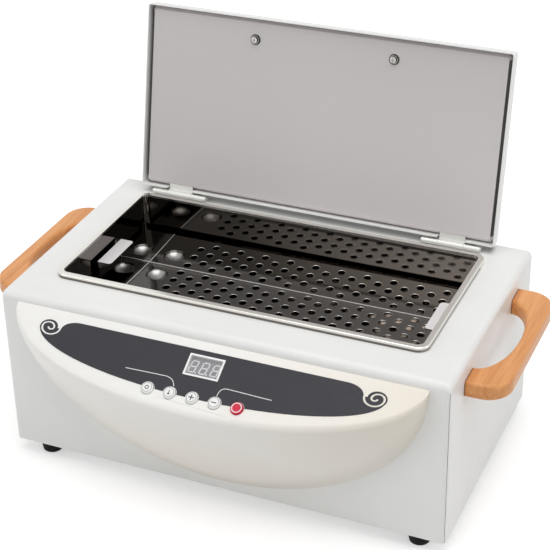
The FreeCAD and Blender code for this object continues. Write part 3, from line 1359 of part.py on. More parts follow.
def hinge_flap(side):
    """Lid leaf: the middle knuckle, a short rise and a flat tongue that lies on the liner inside the lid."""
    middle = side * HINGE_OFFSET_X
    inner = HINGE_MIDDLE_KNUCKLE / 2 - HINGE_KNUCKLE_GAP
    ring = knuckle(middle - inner, middle + inner, HINGE_PIN_RADIUS + HINGE_RUNNING_GAP)
    tongue_z = LINER_Z + LINER_SHEET
    front = HINGE_AXIS_Y - HINGE_LID_LEAF_DEPTH
    neck_y0 = HINGE_AXIS_Y - HINGE_RADIUS
    neck_y1 = neck_y0 + HINGE_SHEET
    tongue = box(middle - inner, middle + inner, front, neck_y1, tongue_z, tongue_z + HINGE_SHEET)
    neck = box(middle - inner, middle + inner, neck_y0, neck_y1, HINGE_AXIS_Z, tongue_z + HINGE_SHEET)
    body = joined([ring, neck, tongue])
    at = V(middle - inner - 1, HINGE_AXIS_Y, HINGE_AXIS_Z)
    bore = rod(HINGE_PIN_RADIUS + HINGE_RUNNING_GAP, 2 * inner + 2, at, V(1, 0, 0))
    return opened(body.cut(bore))


def hinge_pin(side):
    middle = side * HINGE_OFFSET_X
    half = HINGE_LENGTH / 2
    pin = rod(HINGE_PIN_RADIUS, HINGE_LENGTH, V(middle - half, HINGE_AXIS_Y, HINGE_AXIS_Z), V(1, 0, 0))
    heads = []
    for i in (-1, 1):
        at = V(middle + i * half, HINGE_AXIS_Y, HINGE_AXIS_Z)
        heads.append(rod(HINGE_PIN_HEAD_RADIUS, HINGE_PIN_HEAD_LENGTH, at, V(i, 0, 0)))
    return joined([pin] + heads)


def hinge_screws():
    screws = []
    for place in hinge_screw_places():
        screw = cross_screw(SMALL_HEAD_RADIUS - 0.4, SMALL_HEAD_HEIGHT - 0.3, SMALL_SCREW_RADIUS, 6.0)
        screws.append(aimed(screw, place + V(0, 0, HINGE_SHEET), V(0, 0, -1)))
    return Part.makeCompound(screws)


# The whole object
def build_pieces():
    pieces = {
        "casing_cover": casing_cover(),
        "base_plate": base_plate(),
        "foot_screws": foot_screws(),
        "base_screws": base_screws(),
        "cord_gland": cord_gland(),
        "gland_nut": gland_nut(),
        "tank": tank(),
        "tank_brackets": tank_brackets(),
        "tray": tray(),
        "heater_element": heater_element(),
        "press_plate": press_plate(),
        "bottom_insulation": bottom_insulation(),
        "heater_studs": heater_studs(),
        "side_insulation": side_insulation(),
        "temperature_probe": temperature_probe(),
        "thermal_cutout": thermal_cutout(),
        "front_bezel": front_bezel(),
        "bezel_screws": bezel_screws(),
        "panel_film": panel_film(),
        "display_frame": display_frame(),
        "display_window": display_window(),
        "display_module": display_module(),
        "button_switches": button_switches(),
        "control_board": control_board(),
        "board_screws": board_screws(),
        "power_board": power_board(),
        "board_standoffs": board_standoffs(),
        "transformer": transformer(),
        "relay": relay(),
        "left_handle": side_handle(-1),
        "right_handle": side_handle(1),
        "side_handle_screws": side_handle_screws(),
        "lid_shell": lid_shell(),
        "lid_liner": lid_liner(),
        "lid_insulation": lid_insulation(),
        "lid_handle": lid_handle(),
        "lid_cup_washers": lid_cup_washers(),
        "lid_handle_screws": lid_handle_screws(),
        "hinge_screws": hinge_screws(),
    }
    for name, place in foot_places().items():
        pieces[name] = foot(place)
    for name, x in zip(BUTTON_NAMES, button_xs()):
        pieces[name] = button(x)
    for word, side in (("left", -1), ("right", 1)):
        pieces[word + "_hinge_base"] = hinge_base(side)
        pieces[word + "_hinge_flap"] = hinge_flap(side)
        pieces[word + "_hinge_pin"] = hinge_pin(side)
    return pieces


def report(pieces, shift):
    """Prints each piece's solids and volume, and the places that the record states."""
    for name, shape in pieces.items():
        valid = "ok" if shape.isValid() else "INVALID"
        volume = sum(solid.Volume for solid in shape.Solids)
        print(f"{name}: {len(shape.Solids)} solids, {volume:.0f} mm3, {valid}")
    print("shift", shift)
    print("hinge axis", V(0, HINGE_AXIS_Y, HINGE_AXIS_Z) + shift)


def main():
    pieces = build_pieces()
    whole = Part.makeCompound(list(pieces.values())).optimalBoundingBox(False, False)
    shift = V(0, -(whole.YMin + whole.YMax) / 2, 0)
    for name, shape in pieces.items():
        shape.translated(shift).exportStep("parts/" + name + ".step")
    report(pieces, shift)


main()
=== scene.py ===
"""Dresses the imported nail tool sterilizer: finishes for every CAD node, the small printed and
pressed details, a plain studio and a camera."""

import logging
import math
from dataclasses import dataclass, field
from enum import Enum
from typing import Optional, Protocol, Sequence, Union

import bmesh
import bpy
from mathutils import Euler, Matrix, Vector

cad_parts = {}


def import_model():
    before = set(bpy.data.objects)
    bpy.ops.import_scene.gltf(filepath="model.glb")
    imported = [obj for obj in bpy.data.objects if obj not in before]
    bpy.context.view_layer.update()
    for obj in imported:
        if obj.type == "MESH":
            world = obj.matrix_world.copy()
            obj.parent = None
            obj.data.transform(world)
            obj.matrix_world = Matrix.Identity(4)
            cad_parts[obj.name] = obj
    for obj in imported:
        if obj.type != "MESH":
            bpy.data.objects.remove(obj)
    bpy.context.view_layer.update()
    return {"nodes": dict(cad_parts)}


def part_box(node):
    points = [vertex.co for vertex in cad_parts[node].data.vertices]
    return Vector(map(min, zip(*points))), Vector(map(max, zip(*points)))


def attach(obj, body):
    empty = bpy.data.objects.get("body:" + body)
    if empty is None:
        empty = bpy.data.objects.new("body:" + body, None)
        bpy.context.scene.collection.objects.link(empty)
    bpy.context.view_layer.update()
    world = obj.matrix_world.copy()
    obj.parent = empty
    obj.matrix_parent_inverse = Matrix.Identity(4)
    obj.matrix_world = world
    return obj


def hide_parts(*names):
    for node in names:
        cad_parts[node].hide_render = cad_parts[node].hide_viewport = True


LOG = logging.getLogger("sterilizer")
MM = 0.001
NOISE_SPAN = (0.3, 0.7)
QUARTER_TURN = Matrix.Rotation(math.radians(90), 4, "Z")

Colour = tuple[float, float, float]
Span = tuple[float, float]
Point = tuple[float, float, float]
Socket = bpy.types.NodeSocket
Number = Union[Socket, float]


def paint(red: int, green: int, blue: int) -> Colour:
    """Turns an eye colour, 0 to 255, into the linear one that a shader needs, by the sRGB curve."""
    steps = (red / 255, green / 255, blue / 255)
    return tuple(v / 12.92 if v <= 0.04045 else ((v + 0.055) / 1.055) ** 2.4 for v in steps)


def dimmed(colour: Colour, share: float) -> Colour:
    """Gives a colour at a share of its brightness."""
    return tuple(v * share for v in colour)


ENAMEL_WHITE = paint(241, 241, 239)
BEECH_LIGHT = paint(236, 170, 110)
BEECH_DARK = paint(211, 138, 78)


class Grain(Enum):
    """The line along which a brushed or wooden surface runs."""

    ALONG_X = (0.04, 1.0, 1.0)
    ALONG_Y = (1.0, 0.04, 1.0)
    EVEN = (1.0, 1.0, 1.0)


class Nodes:
    """Adds nodes to one node tree and joins them."""

    def __init__(self, tree: bpy.types.NodeTree) -> None:
        """Takes the tree.

        Args:
            tree: The node tree of a material or a world.
        """
        self.tree = tree

    def node(self, kind: str, inputs: dict[Union[int, str], object], **settings: str) -> bpy.types.Node:
        """Adds a node.

        Args:
            kind: Its kind.
            inputs: What each input is joined or set to, a socket or a value.
            **settings: Its own settings, such as the operation.

        Returns:
            The node.
        """
        node = self.tree.nodes.new(kind)
        for name, value in settings.items():
            setattr(node, name, value)
        for key, value in inputs.items():
            if isinstance(value, Socket):
                self.tree.links.new(value, node.inputs[key])
            else:
                node.inputs[key].default_value = value
        return node

    def calculate(self, kind: str, first: Socket, second: Optional[Number] = None) -> Socket:
        """Adds a Math node for one value or two and gives its result."""
        inputs = {0: first} if second is None else {0: first, 1: second}
        return self.node("ShaderNodeMath", inputs, operation=kind).outputs[0]

    def times(self, first: Socket, second: Number) -> Socket:
        """Multiplies two values."""
        return self.calculate("MULTIPLY", first, second)

    def plus(self, first: Socket, second: Number) -> Socket:
        """Adds two values."""
        return self.calculate("ADD", first, second)

    def larger(self, first: Socket, second: Number) -> Socket:
        """Gives the larger of two values."""
        return self.calculate("MAXIMUM", first, second)

    def span(self, source: Socket, low: float, high: float, out_low: float = 0.0,
             out_high: float = 1.0) -> Socket:
        """Carries a value from one range, low to high, to another and holds it there."""
        limits = {"From Min": low, "From Max": high, "To Min": out_low, "To Max": out_high}
        return self.node("ShaderNodeMapRange", {"Value": source, **limits}).outputs["Result"]

    def seen_directly(self) -> Socket:
        """Tells which rays see the background.

        Returns:
            1 for camera, glossy and transmission rays, 0 for others.
        """
        rays = self.node("ShaderNodeLightPath", {}).outputs
        seen = self.larger(rays["Is Camera Ray"], rays["Is Glossy Ray"])
        return self.larger(seen, rays["Is Transmission Ray"])


class Wiring(Nodes):
    """Makes one material: joins its nodes and keeps its colour and roughness until both are done."""

    def __init__(self, name: str) -> None:
        """Starts a material with a Principled shader.

        Args:
            name: The material's name.
        """
        self.material = bpy.data.materials.new(name)
        self.material.use_nodes = True
        super().__init__(self.material.node_tree)
        self.shader = self.tree.nodes["Principled BSDF"]
        self.place = self.node("ShaderNodeTexCoord", {}).outputs["Object"]
        self.tone: Optional[Socket] = None
        self.gloss: Optional[Socket] = None

    def constants(self, **values: object) -> None:
        """Sets numbers and colours on the shader's own sockets.

        Args:
            **values: Socket names with _ for a space, and their values.
        """
        for key, value in values.items():
            socket = self.shader.inputs[key.replace("_", " ")]
            socket.default_value = (*value, 1.0) if isinstance(value, tuple) else value

    def noise(self, size: float, detail: float = 3.0, stretch: Sequence[float] = (1, 1, 1),
              distortion: float = 0.0) -> Socket:
        """Adds a noise pattern.

        Args:
            size: Size of one blotch in metres.
            detail: Number of finer layers.
            stretch: Factor of the pattern's frequency along x, y and z.
            distortion: How far the pattern is pulled about.

        Returns:
            The pattern's value.
        """
        scale = tuple(v / size for v in stretch)
        turn = self.node("ShaderNodeMapping", {"Vector": self.place, "Scale": scale})
        limits = {"Scale": 1.0, "Detail": detail, "Distortion": distortion}
        texture = self.node("ShaderNodeTexNoise", {"Vector": turn.outputs["Vector"], **limits})
        return texture.outputs["Fac"]

    def axis(self, name: str) -> Socket:
        """Gives one coordinate of the surface point, X, Y or Z, in metres."""
        return self.node("ShaderNodeSeparateXYZ", {"Vector": self.place}).outputs[name]

    def facing(self, way: Point) -> Socket:
        """Tells how far the surface faces one way, a unit vector, with 1 when it does so fully."""
        normal = self.node("ShaderNodeTexCoord", {}).outputs["Normal"]
        product = self.node("ShaderNodeVectorMath", {0: normal, 1: way}, operation="DOT_PRODUCT")
        return product.outputs["Value"]

    def outwards(self, name: str) -> Socket:
        """Gives the distance of the surface point from the middle along one axis."""
        return self.calculate("ABSOLUTE", self.axis(name))

    def spread(self, pattern: Socket, low: float = 0.0, high: float = 1.0) -> Socket:
        """Carries a noise pattern's usual span to another range."""
        return self.span(pattern, *NOISE_SPAN, low, high)

    def ramp(self, name: str, low: float, high: float, out_low: float = 0.0,
             out_high: float = 1.0) -> Socket:
        """Carries one coordinate of the surface point from one range to another."""
        return self.span(self.axis(name), low, high, out_low, out_high)

    def between(self, name: str, start: float, full: float, last: float, end: float) -> Socket:
        """Tells where the surface point lies from start to end of one axis, fully from full to last."""
        return self.times(self.ramp(name, start, full), self.ramp(name, last, end, 1, 0))

    def blend(self, share: Socket, first: Union[Socket, Colour], second: Union[Socket, Colour]) -> Socket:
        """Mixes two colours.

        Args:
            share: How much of the second colour shows.
            first: The first colour, or a socket with one.
            second: The second colour, or a socket with one.

        Returns:
            The mixed colour.
        """
        low, high = (v if isinstance(v, Socket) else (*v, 1.0) for v in (first, second))
        mix = self.node("ShaderNodeMix", {"Factor": share, 6: low, 7: high}, data_type="RGBA")
        return mix.outputs[2]

    def tint(self, share: Socket, colour: Colour) -> None:
        """Lays a colour over the colour so far."""
        self.tone = self.blend(share, self.tone, colour)

    def roughen(self, share: Socket, roughness: float) -> None:
        """Makes the surface at least so rough where the share is 1."""
        self.gloss = self.larger(self.gloss, self.times(share, roughness))

    def polish(self, pattern: Socket, roughness: float, swing: Span) -> None:
        """Makes the roughness vary with a noise pattern, by what swing adds at its two ends."""
        smooth, rough = swing
        self.gloss = self.spread(pattern, roughness + smooth, roughness + rough)

    def relief(self, height: Socket, depth: float, strength: float) -> None:
        """Gives the surface the fine relief of a pattern, with its depth in metres."""
        bump = self.node("ShaderNodeBump", {"Strength": strength, "Distance": depth, "Height": height})
        self.feed("Normal", bump.outputs["Normal"])

    def feed(self, name: str, source: Socket) -> None:
        """Joins a value to one of the shader's inputs."""
        self.tree.links.new(source, self.shader.inputs[name])

    def finish(self) -> bpy.types.Material:
        """Joins the colour and the roughness, where they were made, and gives the material."""
        for name, source in (("Base Color", self.tone), ("Roughness", self.gloss)):
            if source is not None:
                self.feed(name, source)
        return self.material


class Finish(Protocol):
    """What every finish offers."""

    name: str

    def material(self) -> bpy.types.Material:
        """Builds the finish and returns it."""


@dataclass(frozen=True)
class PowderCoat:
    """Sprayed and baked coat: orange peel, a faint change of tone and gloss, and if asked a painted shadow
    strip where the open lid's foot shades it.
    """

    name: str
    colour: Colour
    roughness: float = 0.42
    peel_size: float = 1.6 * MM
    peel_depth: float = 0.05 * MM
    tone_size: float = 60 * MM
    tone_shade: float = 0.955
    gloss_size: float = 10 * MM
    gloss_swing: Span = (-0.05, 0.06)
    lid_shadow_y: Optional[tuple[float, float, float, float]] = None
    lid_shadow_half_x: float = 155 * MM
    lid_shadow_fade: float = 4 * MM
    lid_shadow_dim: float = 0.25

    def paint_lid_shadow(self, wiring: Wiring) -> None:
        """Paints the shadow that the lid's foot casts on a strip along X.

        Args:
            wiring: The material being made.
        """
        inner = self.lid_shadow_half_x - self.lid_shadow_fade
        across = wiring.span(wiring.outwards("X"), inner, self.lid_shadow_half_x, 1, 0)
        share = wiring.times(wiring.between("Y", *self.lid_shadow_y), across)
        wiring.tint(share, dimmed(self.colour, self.lid_shadow_dim))

    def material(self) -> bpy.types.Material:
        """Builds the finish and returns it."""
        wiring = Wiring(self.name)
        wiring.constants(Specular_IOR_Level=0.45, Coat_Weight=0.15, Coat_Roughness=0.25)
        clouds = wiring.spread(wiring.noise(self.tone_size, 4))
        wiring.tone = wiring.blend(clouds, dimmed(self.colour, self.tone_shade), self.colour)
        if self.lid_shadow_y is not None:
            self.paint_lid_shadow(wiring)
        wiring.polish(wiring.noise(self.gloss_size, 3), self.roughness, self.gloss_swing)
        wiring.relief(wiring.noise(self.peel_size, 2), self.peel_depth, 0.6)
        return wiring.finish()


@dataclass(frozen=True)
class Moulding:
    """Moulded plastic, rubber or print: fine spark texture, slow flow marks and, if asked, a painted
    colour low down and to the right."""

    name: str
    colour: Colour
    roughness: float = 0.35
    spark_size: float = 0.5 * MM
    spark_depth: float = 0.02 * MM
    coat: float = 0.0
    shade: float = 0.96
    shine: float = 0.5
    flow_size: float = 35 * MM
    wear_size: float = 6 * MM
    wear_swing: Span = (-0.04, 0.06)
    low_shade_colour: Optional[Colour] = None
    low_shade_z: Span = (20 * MM, 118 * MM)
    shade_right_to: float = 190 * MM

    def material(self) -> bpy.types.Material:
        """Builds the finish and returns it."""
        wiring = Wiring(self.name)
        wiring.constants(Coat_Weight=self.coat, Coat_Roughness=0.12, Specular_IOR_Level=self.shine)
        flow = wiring.spread(wiring.noise(self.flow_size, 4, distortion=0.6))
        wiring.tone = wiring.blend(flow, dimmed(self.colour, self.shade), self.colour)
        # Painted shade: a warmer, darker colour low down and towards the right.
        if self.low_shade_colour is not None:
            low = wiring.ramp("Z", *self.low_shade_z, 1, 0)
            wiring.tint(wiring.larger(low, wiring.ramp("X", 0, self.shade_right_to)), self.low_shade_colour)
        wiring.polish(wiring.noise(self.wear_size, 3), self.roughness, self.wear_swing)
        wiring.relief(wiring.noise(self.spark_size, 2), self.spark_depth, 0.5)
        return wiring.finish()


@dataclass(frozen=True)
class Steel:
    """Metal sheet: fine drawn lines, and above one height a second tone for a rim or tabs."""

    name: str
    colour: Colour
    roughness: float
    grain: Grain = Grain.EVEN
    line_size: float = 0.5 * MM
    line_depth: float = 0.004 * MM
    upper_colour: Optional[Colour] = None
    upper_roughness: float = 0.3
    upper_from: float = 1.0
    upper_fade: float = 0.2 * MM
    upper_level_only: bool = False
    level_turn: Span = (0.3, 0.8)
    cloud_size: float = 30 * MM
    patch_span: Span = (0.35, 0.65)
    mottle: float = 0.9
    gloss_spread: float = 0.25
    metallic: float = 1.0
    left_painted_shade: float = 1.0
    half_span: float = 150 * MM

    def upper_share(self, wiring: Wiring) -> Socket:
        """Tells where the second tone shows: above its height, or on level faces there alone.

        Args:
            wiring: The material being made.

        Returns:
            The share.
        """
        share = wiring.ramp("Z", self.upper_from - self.upper_fade, self.upper_from)
        if self.upper_level_only:
            share = wiring.times(share, wiring.span(wiring.facing((0.0, 0.0, 1.0)), *self.level_turn))
        return share

    def accents(self, wiring: Wiring) -> None:
        """Adds what only one kind of sheet has; plain sheet has nothing."""

    def material(self) -> bpy.types.Material:
        """Builds the finish and returns it."""
        wiring = Wiring(self.name)
        wiring.constants(Metallic=self.metallic)
        lines = wiring.noise(self.line_size, 2, self.grain.value)
        clouds = wiring.noise(self.cloud_size, 4)
        patches = wiring.plus(wiring.times(lines, 0.5), wiring.times(clouds, 0.5))
        share = wiring.span(patches, *self.patch_span)
        wiring.tone = wiring.blend(share, dimmed(self.colour, self.mottle), self.colour)
        # Painted shade: the sheet darkens towards the left, standing in for the dark reflections there.
        if self.left_painted_shade < 1.0:
            ends = wiring.ramp("X", -self.half_span, self.half_span)
            wiring.tone = wiring.blend(ends, dimmed(self.colour, self.left_painted_shade), wiring.tone)
        wiring.gloss = wiring.span(patches, *self.patch_span, self.roughness * (1 - self.gloss_spread),
                                   self.roughness * (1 + self.gloss_spread))
        self.accents(wiring)
        if self.upper_colour is not None:
            above = self.upper_share(wiring)
            wiring.tint(above, self.upper_colour)
            change = wiring.calculate("SUBTRACT", wiring.times(above, self.upper_roughness),
                                      wiring.times(above, wiring.gloss))
            wiring.gloss = wiring.plus(wiring.gloss, change)
        wiring.relief(lines, self.line_depth, 0.6)
        return wiring.finish()


@dataclass(frozen=True)
class FoldedSteel(Steel):
    """Folded or rolled metal: painted shade where it turns away from its open side, between two heights."""

    face: Point = (0.0, -0.9792, 0.2028)
    fold_turn: Span = (0.9, 0.97)
    painted_fold_shade: float = 0.16
    open_top: float = 306 * MM
    open_foot: float = 100 * MM
    foot_light_colour: Optional[Colour] = None
    foot_z: Span = (310 * MM, 175 * MM)
    foot_x: Span = (-150 * MM, 0.0)
    foot_least: Span = (0.05, 0.2)

    def accents(self, wiring: Wiring) -> None:
        """Paints light on the foot of the sheet and paints shade on its folded edge.

        Args:
            wiring: The material being made.
        """
        # Painted light: the sheet turns paler lower down and away from its left end.
        if self.foot_light_colour is not None:
            top_share, left_share = self.foot_least
            down = wiring.ramp("Z", *self.foot_z, top_share)
            aside = wiring.ramp("X", *self.foot_x, left_share)
            wiring.tint(wiring.times(down, aside), self.foot_light_colour)
        # Painted shade: faces turned away from the open side darken.
        fold = wiring.span(wiring.facing(self.face), *self.fold_turn, 1, 0)
        within = wiring.between("Z", self.open_foot, self.open_foot + MM, self.open_top - MM, self.open_top)
        wiring.tint(wiring.times(fold, within), dimmed(self.colour, self.painted_fold_shade))


@dataclass(frozen=True)
class TankSteel(Steel):
    """Polished tank: a painted pale reflection and softer gloss at the right of its back wall, and a
    painted shadow below the rim's edge.
    """

    wall_reflection_colour: Colour = (0.96, 0.86, 0.78)
    wall_roughness: float = 0.1
    wall_from_y: float = 60 * MM
    wall_x: Span = (-60 * MM, 150 * MM)
    rim_shadow_colour: Colour = (0.16, 0.15, 0.14)
    rim_shadow_z: Span = (151.9 * MM, 153.2 * MM)
    front_shadow_top: float = 154.3 * MM
    front_turn: Span = (0.8, 0.9)
    rim_shadow_fade: Span = (0.1 * MM, 0.3 * MM)

    def accents(self, wiring: Wiring) -> None:
        """Adds the painted reflection at the pale end of the back wall and the painted shadow under the
        rim, which is higher in front.

        Args:
            wiring: The material being made.
        """
        # Painted reflection: the right of the back wall turns paler and smoother.
        behind = wiring.ramp("Y", self.wall_from_y - MM, self.wall_from_y)
        share = wiring.times(behind, wiring.ramp("X", *self.wall_x))
        wiring.tint(share, self.wall_reflection_colour)
        wiring.roughen(share, self.wall_roughness)
        # Painted shadow: a dark band under the rim's edge, higher on the front wall.
        low, high = self.rim_shadow_z
        rise, fall = self.rim_shadow_fade
        front = wiring.span(wiring.facing((0.0, -1.0, 0.0)), *self.front_turn)
        lower = wiring.ramp("Z", high, high + fall, 1, 0)
        higher = wiring.ramp("Z", self.front_shadow_top, self.front_shadow_top + fall, 1, 0)
        under = wiring.larger(lower, wiring.times(higher, front))
        wiring.tint(wiring.times(wiring.ramp("Z", low - rise, low), under), self.rim_shadow_colour)


@dataclass(frozen=True)
class PressedSteel(Steel):
    """Polished sheet with painted highlights on the ridges of its two ribs, softer drawn cups with a
    painted paler reflection, and satin tabs.
    """

    ridge_y: float = 19.1 * MM
    ridge_x: float = -118.1 * MM
    ridge_fade: Span = (0.35 * MM, 0.6 * MM)
    ridge_roughness: float = 0.4
    cup_top: float = 124.2 * MM
    cup_fade: float = 0.4 * MM
    cup_span: Span = (-142 * MM, -94 * MM)
    highlight_colour: Colour = (0.62, 0.61, 0.6)
    cup_highlight_dim: float = 0.5
    cup_roughness: float = 0.3
    tab_metallic: float = 0.35

    def accents(self, wiring: Wiring) -> None:
        """Adds the painted highlights on the ridges and the cups' painted paler reflection, and makes the
        tabs satin.

        Args:
            wiring: The material being made.
        """
        # Painted highlight: a bright line along the top of each rib.
        for name, middle in (("Y", self.ridge_y), ("X", self.ridge_x)):
            beside = wiring.calculate("SUBTRACT", wiring.axis(name), middle)
            ridge = wiring.span(wiring.calculate("ABSOLUTE", beside), *self.ridge_fade, 1, 0)
            wiring.tint(ridge, self.highlight_colour)
            wiring.roughen(ridge, self.ridge_roughness)
        # Painted reflection: the cups get a paler tone than the dark sheet.
        left, right = self.cup_span
        below = wiring.ramp("Z", self.cup_top - self.cup_fade, self.cup_top, 1, 0)
        cup = wiring.times(below, wiring.between("X", left, left + MM, right - MM, right))
        wiring.roughen(cup, self.cup_roughness)
        wiring.tint(cup, dimmed(self.highlight_colour, self.cup_highlight_dim))
        metal = wiring.span(self.upper_share(wiring), 0, 1, self.metallic, self.tab_metallic)
        wiring.feed("Metallic", metal)


@dataclass(frozen=True)
class LacqueredWood:
    """Pale hardwood under clear lacquer, with long streaks, short flecks and darker joint lines."""

    name: str
    light: Colour
    dark: Colour
    grain: Grain
    joint_x: Optional[float] = None
    joint_fade: Span = (0.5 * MM, 1.3 * MM)
    joint_share: float = 0.85
    joint_shade: float = 0.3
    roughness: float = 0.34
    gloss_swing: Span = (-0.06, 0.08)
    streak_size: float = 9 * MM
    streak_span: Span = (0.38, 0.64)
    pore_size: float = 1.3 * MM
    pore_depth: float = 0.06 * MM
    fleck_size: float = 0.9 * MM
    fleck_stretch: float = 0.22
    fleck_span: Span = (0.66, 0.74)
    fleck_share: float = 0.22
    fleck_shade: float = 0.55

    def material(self) -> bpy.types.Material:
        """Builds the finish and returns it."""
        wiring = Wiring(self.name)
        wiring.constants(Coat_Weight=0.1, Coat_Roughness=0.25, Specular_IOR_Level=0.3)
        broad = wiring.noise(self.streak_size, 3, self.grain.value, 0.8)
        fine = wiring.noise(self.pore_size, 4, self.grain.value)
        mixed = wiring.plus(wiring.times(broad, 0.6), wiring.times(fine, 0.4))
        wiring.tone = wiring.blend(wiring.span(mixed, *self.streak_span), self.dark, self.light)
        short = tuple(v if v == 1.0 else self.fleck_stretch for v in self.grain.value)
        flecks = wiring.span(wiring.noise(self.fleck_size, 1, short), *self.fleck_span, 0, self.fleck_share)
        wiring.tint(flecks, dimmed(self.dark, self.fleck_shade))
        if self.joint_x is not None:
            solid, gone = (self.joint_x + v for v in self.joint_fade)
            line = wiring.span(wiring.outwards("X"), solid, gone, self.joint_share, 0)
            wiring.tint(line, dimmed(self.dark, self.joint_shade))
        wiring.polish(fine, self.roughness, self.gloss_swing)
        wiring.relief(mixed, self.pore_depth, 0.5)
        return wiring.finish()


@dataclass(frozen=True)
class Fibre:
    """Pressed fibre board with matted threads."""

    name: str
    colour: Colour
    thread_size: float = 1.2 * MM
    thread_depth: float = 0.5 * MM
    thread_span: Span = (0.35, 0.65)
    shade: float = 0.72

    def material(self) -> bpy.types.Material:
        """Builds the finish and returns it."""
        wiring = Wiring(self.name)
        wiring.constants(Roughness=0.95, Sheen_Weight=0.3)
        threads = wiring.noise(self.thread_size, 6, (1, 0.25, 1), 2.5)
        share = wiring.span(threads, *self.thread_span)
        wiring.tone = wiring.blend(share, dimmed(self.colour, self.shade), self.colour)
        wiring.relief(threads, self.thread_depth, 0.9)
        return wiring.finish()


@dataclass(frozen=True)
class SolderedBoard:
    """Printed board: green mask with paler copper runs under it."""

    name: str
    mask: Colour
    copper: Colour
    run_size: float = 7 * MM
    run_depth: float = 0.05 * MM
    run_folds: float = 9.0
    run_edge: Span = (0.3, 0.34)

    def material(self) -> bpy.types.Material:
        """Builds the finish and returns it."""
        wiring = Wiring(self.name)
        wiring.constants(Coat_Weight=0.3, Roughness=0.4)
        runs = wiring.noise(self.run_size, 0, (1, 0.3, 0.3), 0.2)
        track = wiring.calculate("PINGPONG", wiring.times(runs, self.run_folds), 0.5)
        wiring.tone = wiring.blend(wiring.span(track, *self.run_edge), self.mask, self.copper)
        wiring.relief(track, self.run_depth, 0.5)
        return wiring.finish()


@dataclass(frozen=True)
class ClearSheet:
    """Thin clear acrylic with light scuffs."""

    name: str
    colour: Colour
    alpha: float = 0.14
    scuff_size: float = 1.5 * MM

    def material(self) -> bpy.types.Material:
        """Builds the finish and returns it."""
        wiring = Wiring(self.name)
        wiring.constants(Alpha=self.alpha, Base_Color=self.colour, IOR=1.49)
        wiring.gloss = wiring.spread(wiring.noise(self.scuff_size, 5), 0.05, 0.16)
        return wiring.finish()


